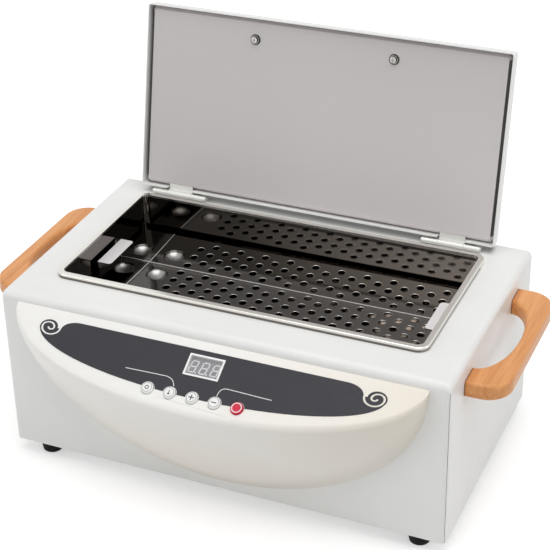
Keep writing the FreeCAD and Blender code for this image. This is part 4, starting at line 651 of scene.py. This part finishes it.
@dataclass(frozen=True)
class Finishes:
    """All the finishes of the sterilizer.

    A Moulding's numbers are its roughness, spark size and depth, coat, shade and shine. A Steel's are its
    roughness, grain, line size and depth, and the colour, roughness and height of its upper tone.
    """

    enamel: PowderCoat = PowderCoat("white_enamel", ENAMEL_WHITE)
    # The casing's coat carries a painted shadow on the strip behind the tank's rim, under the open lid's
    # foot.
    casing: PowderCoat = PowderCoat("casing_enamel", ENAMEL_WHITE,
                                    lid_shadow_y=(84.5 * MM, 92 * MM, 95.5 * MM, 97.5 * MM))
    # The front moulding's low colour is a painted warm shade on its underside and right side.
    shell: Moulding = Moulding("white_plastic", paint(243, 242, 238), 0.32, 0.6 * MM, 0.012 * MM, 0.2,
                               0.985, low_shade_colour=paint(228, 219, 204))
    frame_white: Moulding = Moulding("frame_plastic", paint(246, 246, 245), 0.3, 0.4 * MM, 0.008 * MM,
                                     0.3, 0.97)
    # The tank's and the tray's dark colours are painted shade, standing in for the dark reflections inside
    # the chamber; their upper tones are the paler steel of the rim and the tabs.
    tank: TankSteel = TankSteel("tank_steel", paint(150, 144, 138), 0.06, Grain.ALONG_X, 0.7 * MM,
                                0.002 * MM, paint(228, 226, 220), 0.2, 155.2 * MM, mottle=0.94,
                                left_painted_shade=0.55)
    tray: PressedSteel = PressedSteel("tray_steel", paint(104, 101, 98), 0.09, Grain.ALONG_X, 0.7 * MM,
                                      0.003 * MM, paint(232, 229, 230), 0.55, 127.6 * MM,
                                      upper_level_only=True, mottle=0.92, left_painted_shade=0.45)
    # The lips get painted shade on every side turned away from the front and up.
    lips: FoldedSteel = FoldedSteel("lip_steel", paint(222, 219, 214), 0.2, Grain.EVEN, 0.4 * MM,
                                    0.003 * MM, left_painted_shade=0.6, face=(0.0, -0.5, 0.866), painted_fold_shade=0.3)
    # The liner gets painted light at its foot and painted shade on its folded edge.
    liner: FoldedSteel = FoldedSteel("liner_steel", paint(195, 190, 190), 0.5, Grain.ALONG_X, 0.35 * MM,
                                     0.003 * MM, mottle=0.99, gloss_spread=0.05, metallic=0.15,
                                     open_foot=166 * MM, foot_light_colour=paint(219, 214, 214))
    # The screw heads get painted shade as a dark outer ring.
    lid_heads: FoldedSteel = FoldedSteel("lid_screw_steel", paint(214, 212, 206), 0.3, Grain.EVEN,
                                         0.5 * MM, 0.006 * MM, mottle=0.96, metallic=0.6,
                                         painted_fold_shade=0.05, open_top=400 * MM)
    fittings: Steel = Steel("hinge_steel", paint(222, 222, 218), 0.55, Grain.ALONG_X, 0.4 * MM, 0.004 * MM,
                            mottle=0.96, metallic=0.7)
    heads: Steel = Steel("screw_steel", paint(205, 203, 200), 0.25, Grain.EVEN, 0.5 * MM, 0.006 * MM)
    zinc: Steel = Steel("zinc_steel", paint(176, 179, 182), 0.4, Grain.EVEN, 2.5 * MM, 0.01 * MM,
                        mottle=0.78)
    film: Moulding = Moulding("dark_print", paint(58, 57, 62), 0.42, 0.35 * MM, 0.006 * MM, 0, 0.93, 0.2)
    film_edge: Moulding = Moulding("film_edge", paint(214, 213, 208), 0.4, 0.3 * MM, 0.004 * MM, 0, 0.95)
    ink: Moulding = Moulding("white_ink", paint(236, 236, 236), 0.5, 0.3 * MM, 0.004 * MM, 0, 0.95)
    window: ClearSheet = ClearSheet("clear_window", paint(205, 205, 208))
    module: Moulding = Moulding("display_grey", paint(134, 134, 140), 0.55, 0.4 * MM, 0.01 * MM, 0, 0.93)
    digit: Moulding = Moulding("segment_white", paint(248, 248, 247), 0.5, 0.3 * MM, 0.004 * MM, 0, 0.97)
    key: Moulding = Moulding("white_button", paint(243, 243, 241), 0.24, 0.4 * MM, 0.006 * MM, 0.35, 0.97)
    key_groove_shade: Moulding = Moulding("button_groove_shade", paint(158, 158, 160), 0.5, 0.3 * MM, 0.004 * MM, 0, 0.92)
    key_mark: Moulding = Moulding("button_mark", paint(86, 84, 84), 0.5, 0.3 * MM, 0.004 * MM, 0, 0.92)
    red_key: Moulding = Moulding("red_button", paint(216, 26, 64), 0.3, 0.4 * MM, 0.006 * MM, 0.1, 0.9, 0.3)
    rubber: Moulding = Moulding("black_rubber", paint(13, 13, 14), 0.6, 0.8 * MM, 0.04 * MM, 0, 0.8, 0.15)
    nylon: Moulding = Moulding("black_nylon", paint(38, 38, 39), 0.45, 0.6 * MM, 0.03 * MM, 0, 0.85)
    relay: Moulding = Moulding("blue_relay", paint(46, 88, 160), 0.4, 0.5 * MM, 0.02 * MM, 0.1, 0.9)
    core: Moulding = Moulding("iron_core", paint(96, 84, 74), 0.5, 0.7 * MM, 0.08 * MM, 0.1, 0.6)
    wool: Fibre = Fibre("mineral_wool", paint(222, 214, 190))
    mica: Moulding = Moulding("mica", paint(196, 184, 158), 0.35, 3 * MM, 0.08 * MM, 0.3, 0.75)
    board: SolderedBoard = SolderedBoard("circuit_board", paint(28, 92, 56), paint(52, 128, 78))
    side_wood: LacqueredWood = LacqueredWood("beech_side", BEECH_LIGHT, BEECH_DARK, Grain.ALONG_Y,
                                             182.5 * MM)
    lid_wood: LacqueredWood = LacqueredWood("beech_lid", BEECH_LIGHT, BEECH_DARK, Grain.ALONG_X)


def placed(name: str, shape: bmesh.types.BMesh) -> bpy.types.Object:
    """Puts a mesh into the scene as an object.

    Args:
        name: The object's name.
        shape: Its mesh; it is freed.

    Returns:
        The new object.
    """
    mesh = bpy.data.meshes.new(name)
    shape.to_mesh(mesh)
    shape.free()
    made = bpy.data.objects.new(name, mesh)
    bpy.context.scene.collection.objects.link(made)
    return made


class Workshop:
    """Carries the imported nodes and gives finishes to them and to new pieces."""

    def __init__(self, nodes: dict[str, bpy.types.Object]) -> None:
        """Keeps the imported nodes.

        Args:
            nodes: The CAD nodes by name.
        """
        self.nodes = nodes
        self.made: dict[str, bpy.types.Material] = {}
        self.undressed = set(nodes)

    def coat(self, finish: Finish) -> bpy.types.Material:
        """Gives the material of a finish, made once.

        Args:
            finish: The finish.

        Returns:
            Its material.
        """
        if finish.name not in self.made:
            self.made[finish.name] = finish.material()
        return self.made[finish.name]

    def dress(self, finish: Finish, *names: str) -> None:
        """Gives CAD nodes a finish.

        Args:
            finish: The finish.
            *names: The nodes.
        """
        for name in names:
            mesh = self.nodes[name].data
            mesh.materials.clear()
            mesh.materials.append(self.coat(finish))
            self.undressed.discard(name)
            LOG.info("dressed %s in %s", name, finish.name)

    def piece(self, name: str, shape: bmesh.types.BMesh, finish: Finish, body: str,
              slot: str) -> bpy.types.Object:
        """Turns a bmesh into a piece that moves with a body.

        Args:
            name: The piece's name.
            shape: Its mesh, in the row frame; it is freed.
            finish: Its finish.
            body: The CAD body that it rides on.
            slot: Name of a material slot; not used.

        Returns:
            The new object.
        """
        made = placed(name, shape)
        made.data.materials.append(self.coat(finish))
        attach(made, body)
        LOG.info("made %s with %d faces, on %s", name, len(made.data.polygons), body)
        return made


class FlatWork:
    """Flat printed or cut shapes of one thickness, gathered in one mesh."""

    def __init__(self, height: float) -> None:
        """Starts with an empty mesh.

        Args:
            height: The thickness of the shapes.
        """
        self.shape = bmesh.new()
        self.height = height

    def lift(self, faces: Sequence[bmesh.types.BMFace], place: Matrix) -> None:
        """Lifts flat faces into a thin closed solid and puts it in its place.

        Args:
            faces: The flat faces.
            place: Where the solid goes.
        """
        foot = list(dict.fromkeys(v for f in faces for v in f.verts))
        grown = bmesh.ops.extrude_face_region(self.shape, geom=faces)
        top = [v for v in grown["geom"] if isinstance(v, bmesh.types.BMVert)]
        bmesh.ops.translate(self.shape, vec=(0, 0, self.height), verts=top)
        bmesh.ops.transform(self.shape, matrix=place, verts=foot + top)

    def bar(self, size: Span, place: Matrix, clip: float = 0.45) -> None:
        """Adds a bar with clipped ends.

        Args:
            size: Length along x and width along y.
            place: Where it goes.
            clip: Share of the width that the end corners are clipped by.
        """
        start = bmesh.ops.create_grid(self.shape, x_segments=1, y_segments=1, size=0.5)["verts"]
        bmesh.ops.scale(self.shape, vec=(*size, 1), verts=start)
        clipped = bmesh.ops.bevel(self.shape, geom=start, offset=size[1] * clip, offset_type="OFFSET",
                                  segments=2, profile=0.5, affect="VERTICES", material=-1)
        self.lift(list(dict.fromkeys(f for v in clipped["verts"] for f in v.link_faces)), place)

    def ring(self, radii: Span, place: Matrix, segments: int = 48) -> None:
        """Adds a ring, or a disc where the inner radius is nought.

        Args:
            radii: Outer and inner radius.
            place: Where it goes.
            segments: Number of sides.
        """
        outer, inner = radii
        start = bmesh.ops.create_circle(self.shape, cap_ends=True, segments=segments, radius=outer)["verts"]
        middle = start[0].link_faces[0]
        faces = [middle]
        if inner > 0:
            width = (outer - inner) * math.cos(math.pi / segments)
            faces = bmesh.ops.inset_individual(self.shape, faces=[middle], thickness=width,
                                               use_even_offset=True)["faces"]
            bmesh.ops.delete(self.shape, geom=[middle], context="FACES_ONLY")
        self.lift(faces, place)


def shade(shape: bmesh.types.BMesh, crisp: float) -> None:
    """Shades a mesh evenly, apart from its open edges and its sharp ones.

    Args:
        shape: The mesh.
        crisp: Angle in degrees from which an edge is drawn sharp.
    """
    for face in shape.faces:
        face.smooth = True
    for edge in shape.edges:
        edge.smooth = len(edge.link_faces) == 2 and edge.calc_face_angle(0.0) < math.radians(crisp)


def turned_rings(profile: Sequence[Span], places: Sequence[Matrix], segments: int = 14,
                 crisp: float = 70.0) -> bmesh.types.BMesh:
    """Turns one ring from a closed profile and sets a copy at every place.

    Args:
        profile: Points as radius and height.
        places: Where the rings go.
        segments: Number of steps round a ring.
        crisp: Angle in degrees from which an edge is drawn sharp.

    Returns:
        All the rings in one mesh.
    """
    ring = bmesh.new()
    row = [ring.verts.new((radius, 0, height)) for radius, height in profile]
    lines = [ring.edges.new(pair) for pair in zip(row, row[1:] + row[:1])]
    bmesh.ops.spin(ring, geom=row + lines, cent=(0, 0, 0), axis=(0, 0, 1), angle=math.tau, steps=segments,
                   use_merge=True)
    bmesh.ops.remove_doubles(ring, verts=ring.verts[:], dist=0.002 * MM)
    bmesh.ops.recalc_face_normals(ring, faces=ring.faces[:])
    shade(ring, crisp)
    mesh = bpy.data.meshes.new("turned_ring")
    ring.to_mesh(mesh)
    ring.free()
    shape = bmesh.new()
    for place in places:
        mesh.transform(place)
        shape.from_mesh(mesh)
        mesh.transform(place.inverted())
    bpy.data.meshes.remove(mesh)
    return shape


@dataclass
class Assembly:
    """A sub-assembly of the sterilizer, with the workshop and the finishes that it uses."""

    workshop: Workshop
    finishes: Finishes

    def dress(self, finish: Finish, *names: str) -> None:
        """Gives CAD nodes of the sub-assembly a finish."""
        self.workshop.dress(finish, *names)


@dataclass
class Panel(Assembly):
    """The moulded front with its sloping control panel: the film, two ruled lines and its pale edge."""

    slope: float = 30.0
    crisp: float = 32.0
    film_height: float = 0.35 * MM
    line_width: float = 0.55 * MM
    line_height: float = 0.05 * MM
    left_rule: tuple[Span, ...] = (
        (-59.0, 34.4), (-48.0, 34.15), (-36.0, 33.9), (-27.6, 33.75), (-24.4, 33.85), (-21.9, 34.5),
        (-19.8, 35.7), (-18.2, 37.5), (-17.2, 39.3), (-16.8, 40.4))
    right_rule: tuple[Span, ...] = (
        (17.9, 40.5), (17.85, 38.7), (18.3, 36.8), (19.2, 35.0), (20.7, 33.8), (22.6, 33.3), (25.0, 33.25),
        (34.0, 33.45), (46.0, 33.8), (58.7, 34.1))
    low_rule: tuple[Span, ...] = (
        (-27.0, 51.1), (-14.5, 51.8), (0.0, 52.7), (15.0, 53.6), (31.0, 54.4))

    def plane(self) -> Matrix:
        """Finds the panel's plane.

        Returns:
            The plane, with x across, y up the slope, z outwards and its origin at the top edge.
        """
        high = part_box("front_bezel")[1]
        turn = Euler((math.radians(self.slope), 0, 0)).to_matrix().to_4x4()
        return Matrix.Translation((0, high.y, high.z)) @ turn

    def ruled(self, name: str, path: Sequence[Span], finish: Moulding, level: float, width: float) -> None:
        """Draws one ruled line as a thin strip.

        Args:
            name: The piece's name.
            path: Points as x and distance down the slope, in mm.
            finish: What it is drawn in.
            level: Its height over the panel.
            width: The line's width.
        """
        strip = FlatWork(self.line_height)
        shape = strip.shape
        points = [Vector((x * MM, -s * MM, 0)) for x, s in path]
        first = (points[1] - points[0]).normalized()
        side = Vector((-first.y, first.x, 0)) * width / 2
        pair = [shape.verts.new(points[0] + side), shape.verts.new(points[0] - side)]
        edge = shape.edges.new(pair)
        for at, point in enumerate(points[1:], 1):
            ahead = points[min(at + 1, len(points) - 1)] - points[at - 1]
            side = Vector((-ahead.y, ahead.x, 0)).normalized() * width / 2
            grown = bmesh.ops.extrude_edge_only(shape, edges=[edge])["geom"]
            pair = [v for v in grown if isinstance(v, bmesh.types.BMVert)]
            edge = [e for e in grown if isinstance(e, bmesh.types.BMEdge)][0]
            pair.sort(key=lambda v: (v.co - (points[at - 1] + side)).length)
            pair[0].co = point + side
            pair[1].co = point - side
        strip.lift(shape.faces[:], self.plane() @ Matrix.Translation((0, 0, level)))
        bmesh.ops.recalc_face_normals(shape, faces=shape.faces[:])
        self.workshop.piece(name, shape, finish, "housing", "dark_print")

    def smooth_front(self) -> None:
        """Makes the moulded front again with joined faces, even shading and crisp edges."""
        shape = bmesh.new()
        shape.from_mesh(self.workshop.nodes["front_bezel"].data)
        bmesh.ops.remove_doubles(shape, verts=shape.verts[:], dist=0.004 * MM)
        bmesh.ops.dissolve_degenerate(shape, edges=shape.edges[:], dist=0.01 * MM)
        shade(shape, self.crisp)
        front = self.workshop.piece("front_moulding", shape, self.finishes.shell, "housing",
                                    "white_plastic")
        even = front.modifiers.new("even_shading", "WEIGHTED_NORMAL")
        even.keep_sharp = True
        even.weight = 100
        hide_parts("front_bezel")

    def build(self) -> None:
        """Dresses the front and draws its lines."""
        self.dress(self.finishes.shell, "front_bezel")
        self.smooth_front()
        self.dress(self.finishes.film, "panel_film")
        self.dress(self.finishes.zinc, "bezel_screws")
        width = self.line_width
        self.ruled("left_rule_line", self.left_rule, self.finishes.ink, self.film_height, width)
        self.ruled("right_rule_line", self.right_rule, self.finishes.ink, self.film_height, width)
        self.ruled("film_edge_line", self.low_rule, self.finishes.film_edge, 0.0, width / 2)


@dataclass
class Display(Assembly):
    """The recessed display: white frame, clear sheet, grey face and three figures of eight."""

    panel: Panel
    middle: float = 20.4 * MM
    face_depth: float = 2.3 * MM
    pitch: float = 8.9 * MM
    shift: float = 0.5 * MM
    digit_width: float = 4.9 * MM
    digit_height: float = 9.2 * MM
    stroke: float = 1.0 * MM
    lean: float = 9.0
    thickness: float = 0.12 * MM
    bar_gap: float = 0.35 * MM
    point_radius: float = 0.62 * MM
    point_aside: float = 3.822 * MM
    point_below: float = 0.1 * MM

    def digit(self, work: FlatWork, middle_x: float) -> None:
        """Adds one seven-bar figure with its point.

        Args:
            work: What it is added to.
            middle_x: Its place across the display.
        """
        lean = Matrix.Identity(4)
        lean[0][1] = math.tan(math.radians(self.lean))
        at = self.panel.plane() @ Matrix.Translation((middle_x, -self.middle, -self.face_depth)) @ lean
        half = self.digit_height / 2
        for level in (-half, 0, half):
            size = (self.digit_width - self.bar_gap, self.stroke)
            work.bar(size, at @ Matrix.Translation((0, level, 0)))
        for side in (-1, 1):
            for level in (-half / 2, half / 2):
                place = Matrix.Translation((side * self.digit_width / 2, level, 0)) @ QUARTER_TURN
                work.bar((half - self.bar_gap, self.stroke), at @ place)
        point = Matrix.Translation((self.point_aside, -half - self.point_below, 0))
        work.ring((self.point_radius, 0), at @ point, 20)

    def build(self) -> None:
        """Dresses the display and makes its figures."""
        self.dress(self.finishes.frame_white, "display_frame")
        self.dress(self.finishes.window, "display_window")
        self.dress(self.finishes.module, "display_module")
        work = FlatWork(self.thickness)
        for column in (-1, 0, 1):
            self.digit(work, column * self.pitch - self.shift)
        self.workshop.piece("display_digits", work.shape, self.finishes.digit, "housing", "display_black")


class Mark(Enum):
    """What is printed on a button."""

    RING = "select_button"
    WARMTH = "warmth_button"
    PLUS = "plus_button"
    MINUS = "minus_button"
    BARE = "red_button"


@dataclass
class ButtonRow(Assembly):
    """The five round buttons with their printed marks, the red one's white edge ring, and on the others a
    grey edge line of painted groove shade.
    """

    panel: Panel
    row: float = 46.3 * MM
    pitch: float = 18.0 * MM
    rise: float = 1.9 * MM
    ink: float = 0.04 * MM
    line: Span = (3.98 * MM, 3.5 * MM)
    red_line: Span = (3.98 * MM, 3.25 * MM)
    ring: Span = (1.65 * MM, 0.95 * MM)
    bulb: Span = (0.85 * MM, 0.0)
    bulb_drop: float = 1.2 * MM
    stem: Span = (2.8 * MM, 0.55 * MM)
    stem_rise: float = 0.5 * MM
    stroke: Span = (4.2 * MM, 0.85 * MM)
    stroke_clip: float = 0.1

    def mark(self, work: FlatWork, kind: Mark, at: Matrix) -> None:
        """Adds the mark of one button.

        Args:
            work: What it is added to.
            kind: Which mark.
            at: The middle of the button's face.
        """
        if kind is Mark.RING:
            work.ring(self.ring, at, 32)
        if kind is Mark.WARMTH:
            work.ring(self.bulb, at @ Matrix.Translation((0, -self.bulb_drop, 0)), 24)
            work.bar(self.stem, at @ Matrix.Translation((0, self.stem_rise, 0)) @ QUARTER_TURN)
        if kind in (Mark.PLUS, Mark.MINUS):
            work.bar(self.stroke, at, self.stroke_clip)
        if kind is Mark.PLUS:
            work.bar(self.stroke, at @ QUARTER_TURN, self.stroke_clip)

    def build(self) -> None:
        """Dresses the buttons and prints their marks."""
        for place, kind in enumerate(Mark):
            body = kind.value
            red = kind is Mark.BARE
            slot = "red_button" if red else "white_button"
            at = self.panel.plane() @ Matrix.Translation(((place - 2) * self.pitch, -self.row, self.rise))
            self.dress(self.finishes.red_key if red else self.finishes.key, body)
            # On the white buttons the grey edge ring is painted shade of the groove round the face; on the
            # red one it is a white ring.
            edge = FlatWork(self.ink)
            edge.ring(self.red_line if red else self.line, at)
            finish = self.finishes.ink if red else self.finishes.key_groove_shade
            self.workshop.piece(f"{body}_edge_line", edge.shape, finish, body, slot)
            if not red:
                mark = FlatWork(self.ink)
                self.mark(mark, kind, at)
                self.workshop.piece(f"{body}_mark", mark.shape, self.finishes.key_mark, body, slot)


@dataclass
class Chamber(Assembly):
    """The polished tank and the pierced tray with the pressed lips of its air holes."""

    back_rows: int = 6
    front_rows: int = 11
    columns: int = 20
    first_column: float = 59.0 * MM
    column_pitch: float = 11.25 * MM
    row_pitch: float = 6.5 * MM
    lip: tuple[Span, ...] = (
        (3.25 * MM, -0.1 * MM), (3.29 * MM, 0.03 * MM), (3.45 * MM, 0.14 * MM), (3.68 * MM, 0.17 * MM),
        (3.72 * MM, -0.03 * MM))
    rim_flange: float = 4.5 * MM
    tray_gap: float = 6.0 * MM
    crease_from_back: float = 47.0 * MM
    crease_dip: float = 2.0 * MM
    edge_drop: float = 30.5 * MM

    def hole_places(self) -> list[Matrix]:
        """Finds the tray's air holes.

        Returns:
            The middle of every hole, on the tray's upper face and along its slope.
        """
        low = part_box("tray")[0]
        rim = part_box("tank")[1]
        edge_z = rim.z - self.edge_drop
        crease_y = rim.y - self.rim_flange - self.tray_gap - self.crease_from_back
        places = []
        for column in range(self.columns):
            x = low.x + self.first_column + column * self.column_pitch
            for row in range(-self.front_rows, self.back_rows + 1):
                if row == 0 or (row + column) % 2 == 0:
                    continue
                y = crease_y + row * self.row_pitch
                run = self.crease_from_back if row > 0 else crease_y - low.y
                dip = self.crease_dip * (1 - abs(y - crease_y) / run)
                tilt = math.atan(self.crease_dip / run) * (1 if row > 0 else -1)
                places.append(Matrix.Translation((x, y, edge_z - dip)) @ Matrix.Rotation(tilt, 4, "X"))
        return places

    def build(self) -> None:
        """Dresses the tank and the tray and gives every air hole its thin rolled lip."""
        self.dress(self.finishes.tank, "tank")
        self.dress(self.finishes.tray, "tray")
        self.dress(self.finishes.zinc, "tank_brackets")
        shape = turned_rings(self.lip, self.hole_places())
        self.workshop.piece("tray_hole_lips", shape, self.finishes.lips, "housing", "polished_steel")


@dataclass
class Casing(Assembly):
    """The coated casing with its base, feet, fixings and cord gland."""

    feet: tuple[str, ...] = ("front_left_foot", "front_right_foot", "back_left_foot", "back_right_foot")
    fixings: tuple[str, ...] = ("foot_screws", "base_screws", "side_handle_screws", "hinge_screws")

    def build(self) -> None:
        """Dresses the casing."""
        self.dress(self.finishes.casing, "casing_cover")
        self.dress(self.finishes.enamel, "base_plate")
        self.dress(self.finishes.rubber, *self.feet)
        self.dress(self.finishes.zinc, *self.fixings)
        self.dress(self.finishes.nylon, "cord_gland", "gland_nut")
        self.dress(self.finishes.side_wood, "left_handle", "right_handle")


@dataclass
class Lid(Assembly):
    """The lid with its flat lining, handle, screws and the two hinges."""

    sides: tuple[str, ...] = ("left", "right")

    def build(self) -> None:
        """Dresses the lid."""
        self.dress(self.finishes.enamel, "lid_shell")
        self.dress(self.finishes.liner, "lid_liner")
        self.dress(self.finishes.wool, "lid_insulation")
        self.dress(self.finishes.lid_wood, "lid_handle")
        self.dress(self.finishes.lid_heads, "lid_cup_washers", "lid_handle_screws")
        for side in self.sides:
            self.dress(self.finishes.fittings, f"{side}_hinge_base", f"{side}_hinge_flap",
                       f"{side}_hinge_pin")


@dataclass
class InnerWorks(Assembly):
    """What works out of sight: heater, insulation, boards and their fixings."""

    def build(self) -> None:
        """Dresses the inner parts."""
        self.dress(self.finishes.mica, "heater_element")
        self.dress(self.finishes.zinc, "press_plate", "heater_studs", "board_screws", "board_standoffs")
        self.dress(self.finishes.heads, "temperature_probe")
        self.dress(self.finishes.nylon, "thermal_cutout", "button_switches")
        self.dress(self.finishes.wool, "bottom_insulation", "side_insulation")
        self.dress(self.finishes.board, "control_board", "power_board")
        self.dress(self.finishes.core, "transformer")
        self.dress(self.finishes.relay, "relay")


@dataclass
class Lamp:
    """One round soft light."""

    name: str
    place: Point
    aim: Point
    width: float
    power: float

    def build(self) -> None:
        """Hangs the light."""
        data = bpy.data.lights.new(self.name, "AREA")
        data.shape = "DISK"
        data.size = self.width
        data.energy = self.power
        lamp = bpy.data.objects.new(self.name, data)
        lamp.location = self.place
        lamp.rotation_mode = "QUATERNION"
        lamp.rotation_quaternion = (Vector(self.place) - Vector(self.aim)).to_track_quat("Z", "Y")
        bpy.context.scene.collection.objects.link(lamp)


@dataclass
class Studio:
    """Pale floor, white surroundings, soft lights and the camera."""

    ambient: float = 0.42
    floor_tone: float = 0.8
    floor_roughness: float = 0.9
    floor_lift: Span = (0.44, 0.85)
    floor_fade: Span = (0.4, 1.0)
    floor_reach: float = 4.0
    eye: Point = (0.44956, -1.00715, 0.78612)
    right: Point = (0.918737, 0.394388, -0.019492)
    down: Point = (0.182216, -0.467236, -0.865152)
    focal: float = 1618.72
    picture: int = 550
    sensor: float = 36.0
    lamps: tuple[Lamp, ...] = field(default_factory=lambda: (
        Lamp("ceiling_light", (0.2, -0.3, 2.0), (0, 0, 0.1), 1.8, 20.0),
        Lamp("right_light", (2.0, 0.25, 0.9), (0, 0, 0.1), 1.1, 5.5),
        Lamp("front_light", (-1.5, -1.5, 0.9), (0, 0, 0.1), 1.1, 7.0)))

    def surroundings(self) -> None:
        """Makes the world: white to look at, plainer as a light."""
        world = bpy.data.worlds.new("surroundings")
        world.use_nodes = True
        bpy.context.scene.world = world
        nodes = Nodes(world.node_tree)
        back = nodes.tree.nodes["Background"]
        back.inputs["Color"].default_value = (1, 1, 1, 1)
        level = nodes.span(nodes.seen_directly(), 0, 1, self.ambient, 1)
        nodes.tree.links.new(level, back.inputs["Strength"])

    def floor(self) -> None:
        """Lays the pale floor, which keeps the shadow and turns white away from the object."""
        shape = bmesh.new()
        bmesh.ops.create_grid(shape, x_segments=2, y_segments=2, size=self.floor_reach)
        ground = placed("studio_floor", shape)
        wiring = Wiring("studio_floor")
        wiring.constants(Base_Color=(self.floor_tone,) * 3, Roughness=self.floor_roughness,
                         Specular_IOR_Level=0.0, Emission_Color=(1.0, 1.0, 1.0))
        away = wiring.node("ShaderNodeVectorMath", {0: wiring.place}, operation="LENGTH")
        fade = wiring.span(away.outputs["Value"], *self.floor_fade, *self.floor_lift)
        wiring.feed("Emission Strength", wiring.times(fade, wiring.seen_directly()))
        ground.data.materials.append(wiring.material)

    def camera(self) -> None:
        """Sets the camera at the picture's viewing angle."""
        data = bpy.data.cameras.new("camera")
        data.sensor_width = self.sensor
        data.lens = self.focal * self.sensor / self.picture
        data.clip_start = 0.05
        camera = bpy.data.objects.new("camera", data)
        right = Vector(self.right).normalized()
        up = -Vector(self.down).normalized()
        turn = Matrix((right, up, right.cross(up))).transposed().to_4x4()
        camera.matrix_world = Matrix.Translation(self.eye) @ turn
        bpy.context.scene.collection.objects.link(camera)
        bpy.context.scene.camera = camera

    def build(self) -> None:
        """Makes the studio."""
        bpy.context.scene.view_settings.view_transform = "Standard"
        self.surroundings()
        self.floor()
        for lamp in self.lamps:
            lamp.build()
        self.camera()


def main() -> None:
    """Loads the frame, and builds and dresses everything."""
    logging.basicConfig(level=logging.INFO, format="%(message)s")
    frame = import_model()
    workshop = Workshop(frame["nodes"])
    finishes = Finishes()
    panel = Panel(workshop, finishes)
    for part in (Casing(workshop, finishes), Chamber(workshop, finishes), Lid(workshop, finishes), panel,
                 Display(workshop, finishes, panel), ButtonRow(workshop, finishes, panel),
                 InnerWorks(workshop, finishes)):
        part.build()
    Studio().build()
    if workshop.undressed:
        LOG.warning("no finish yet: %s", sorted(workshop.undressed))


if __name__ == "__main__":
    main()
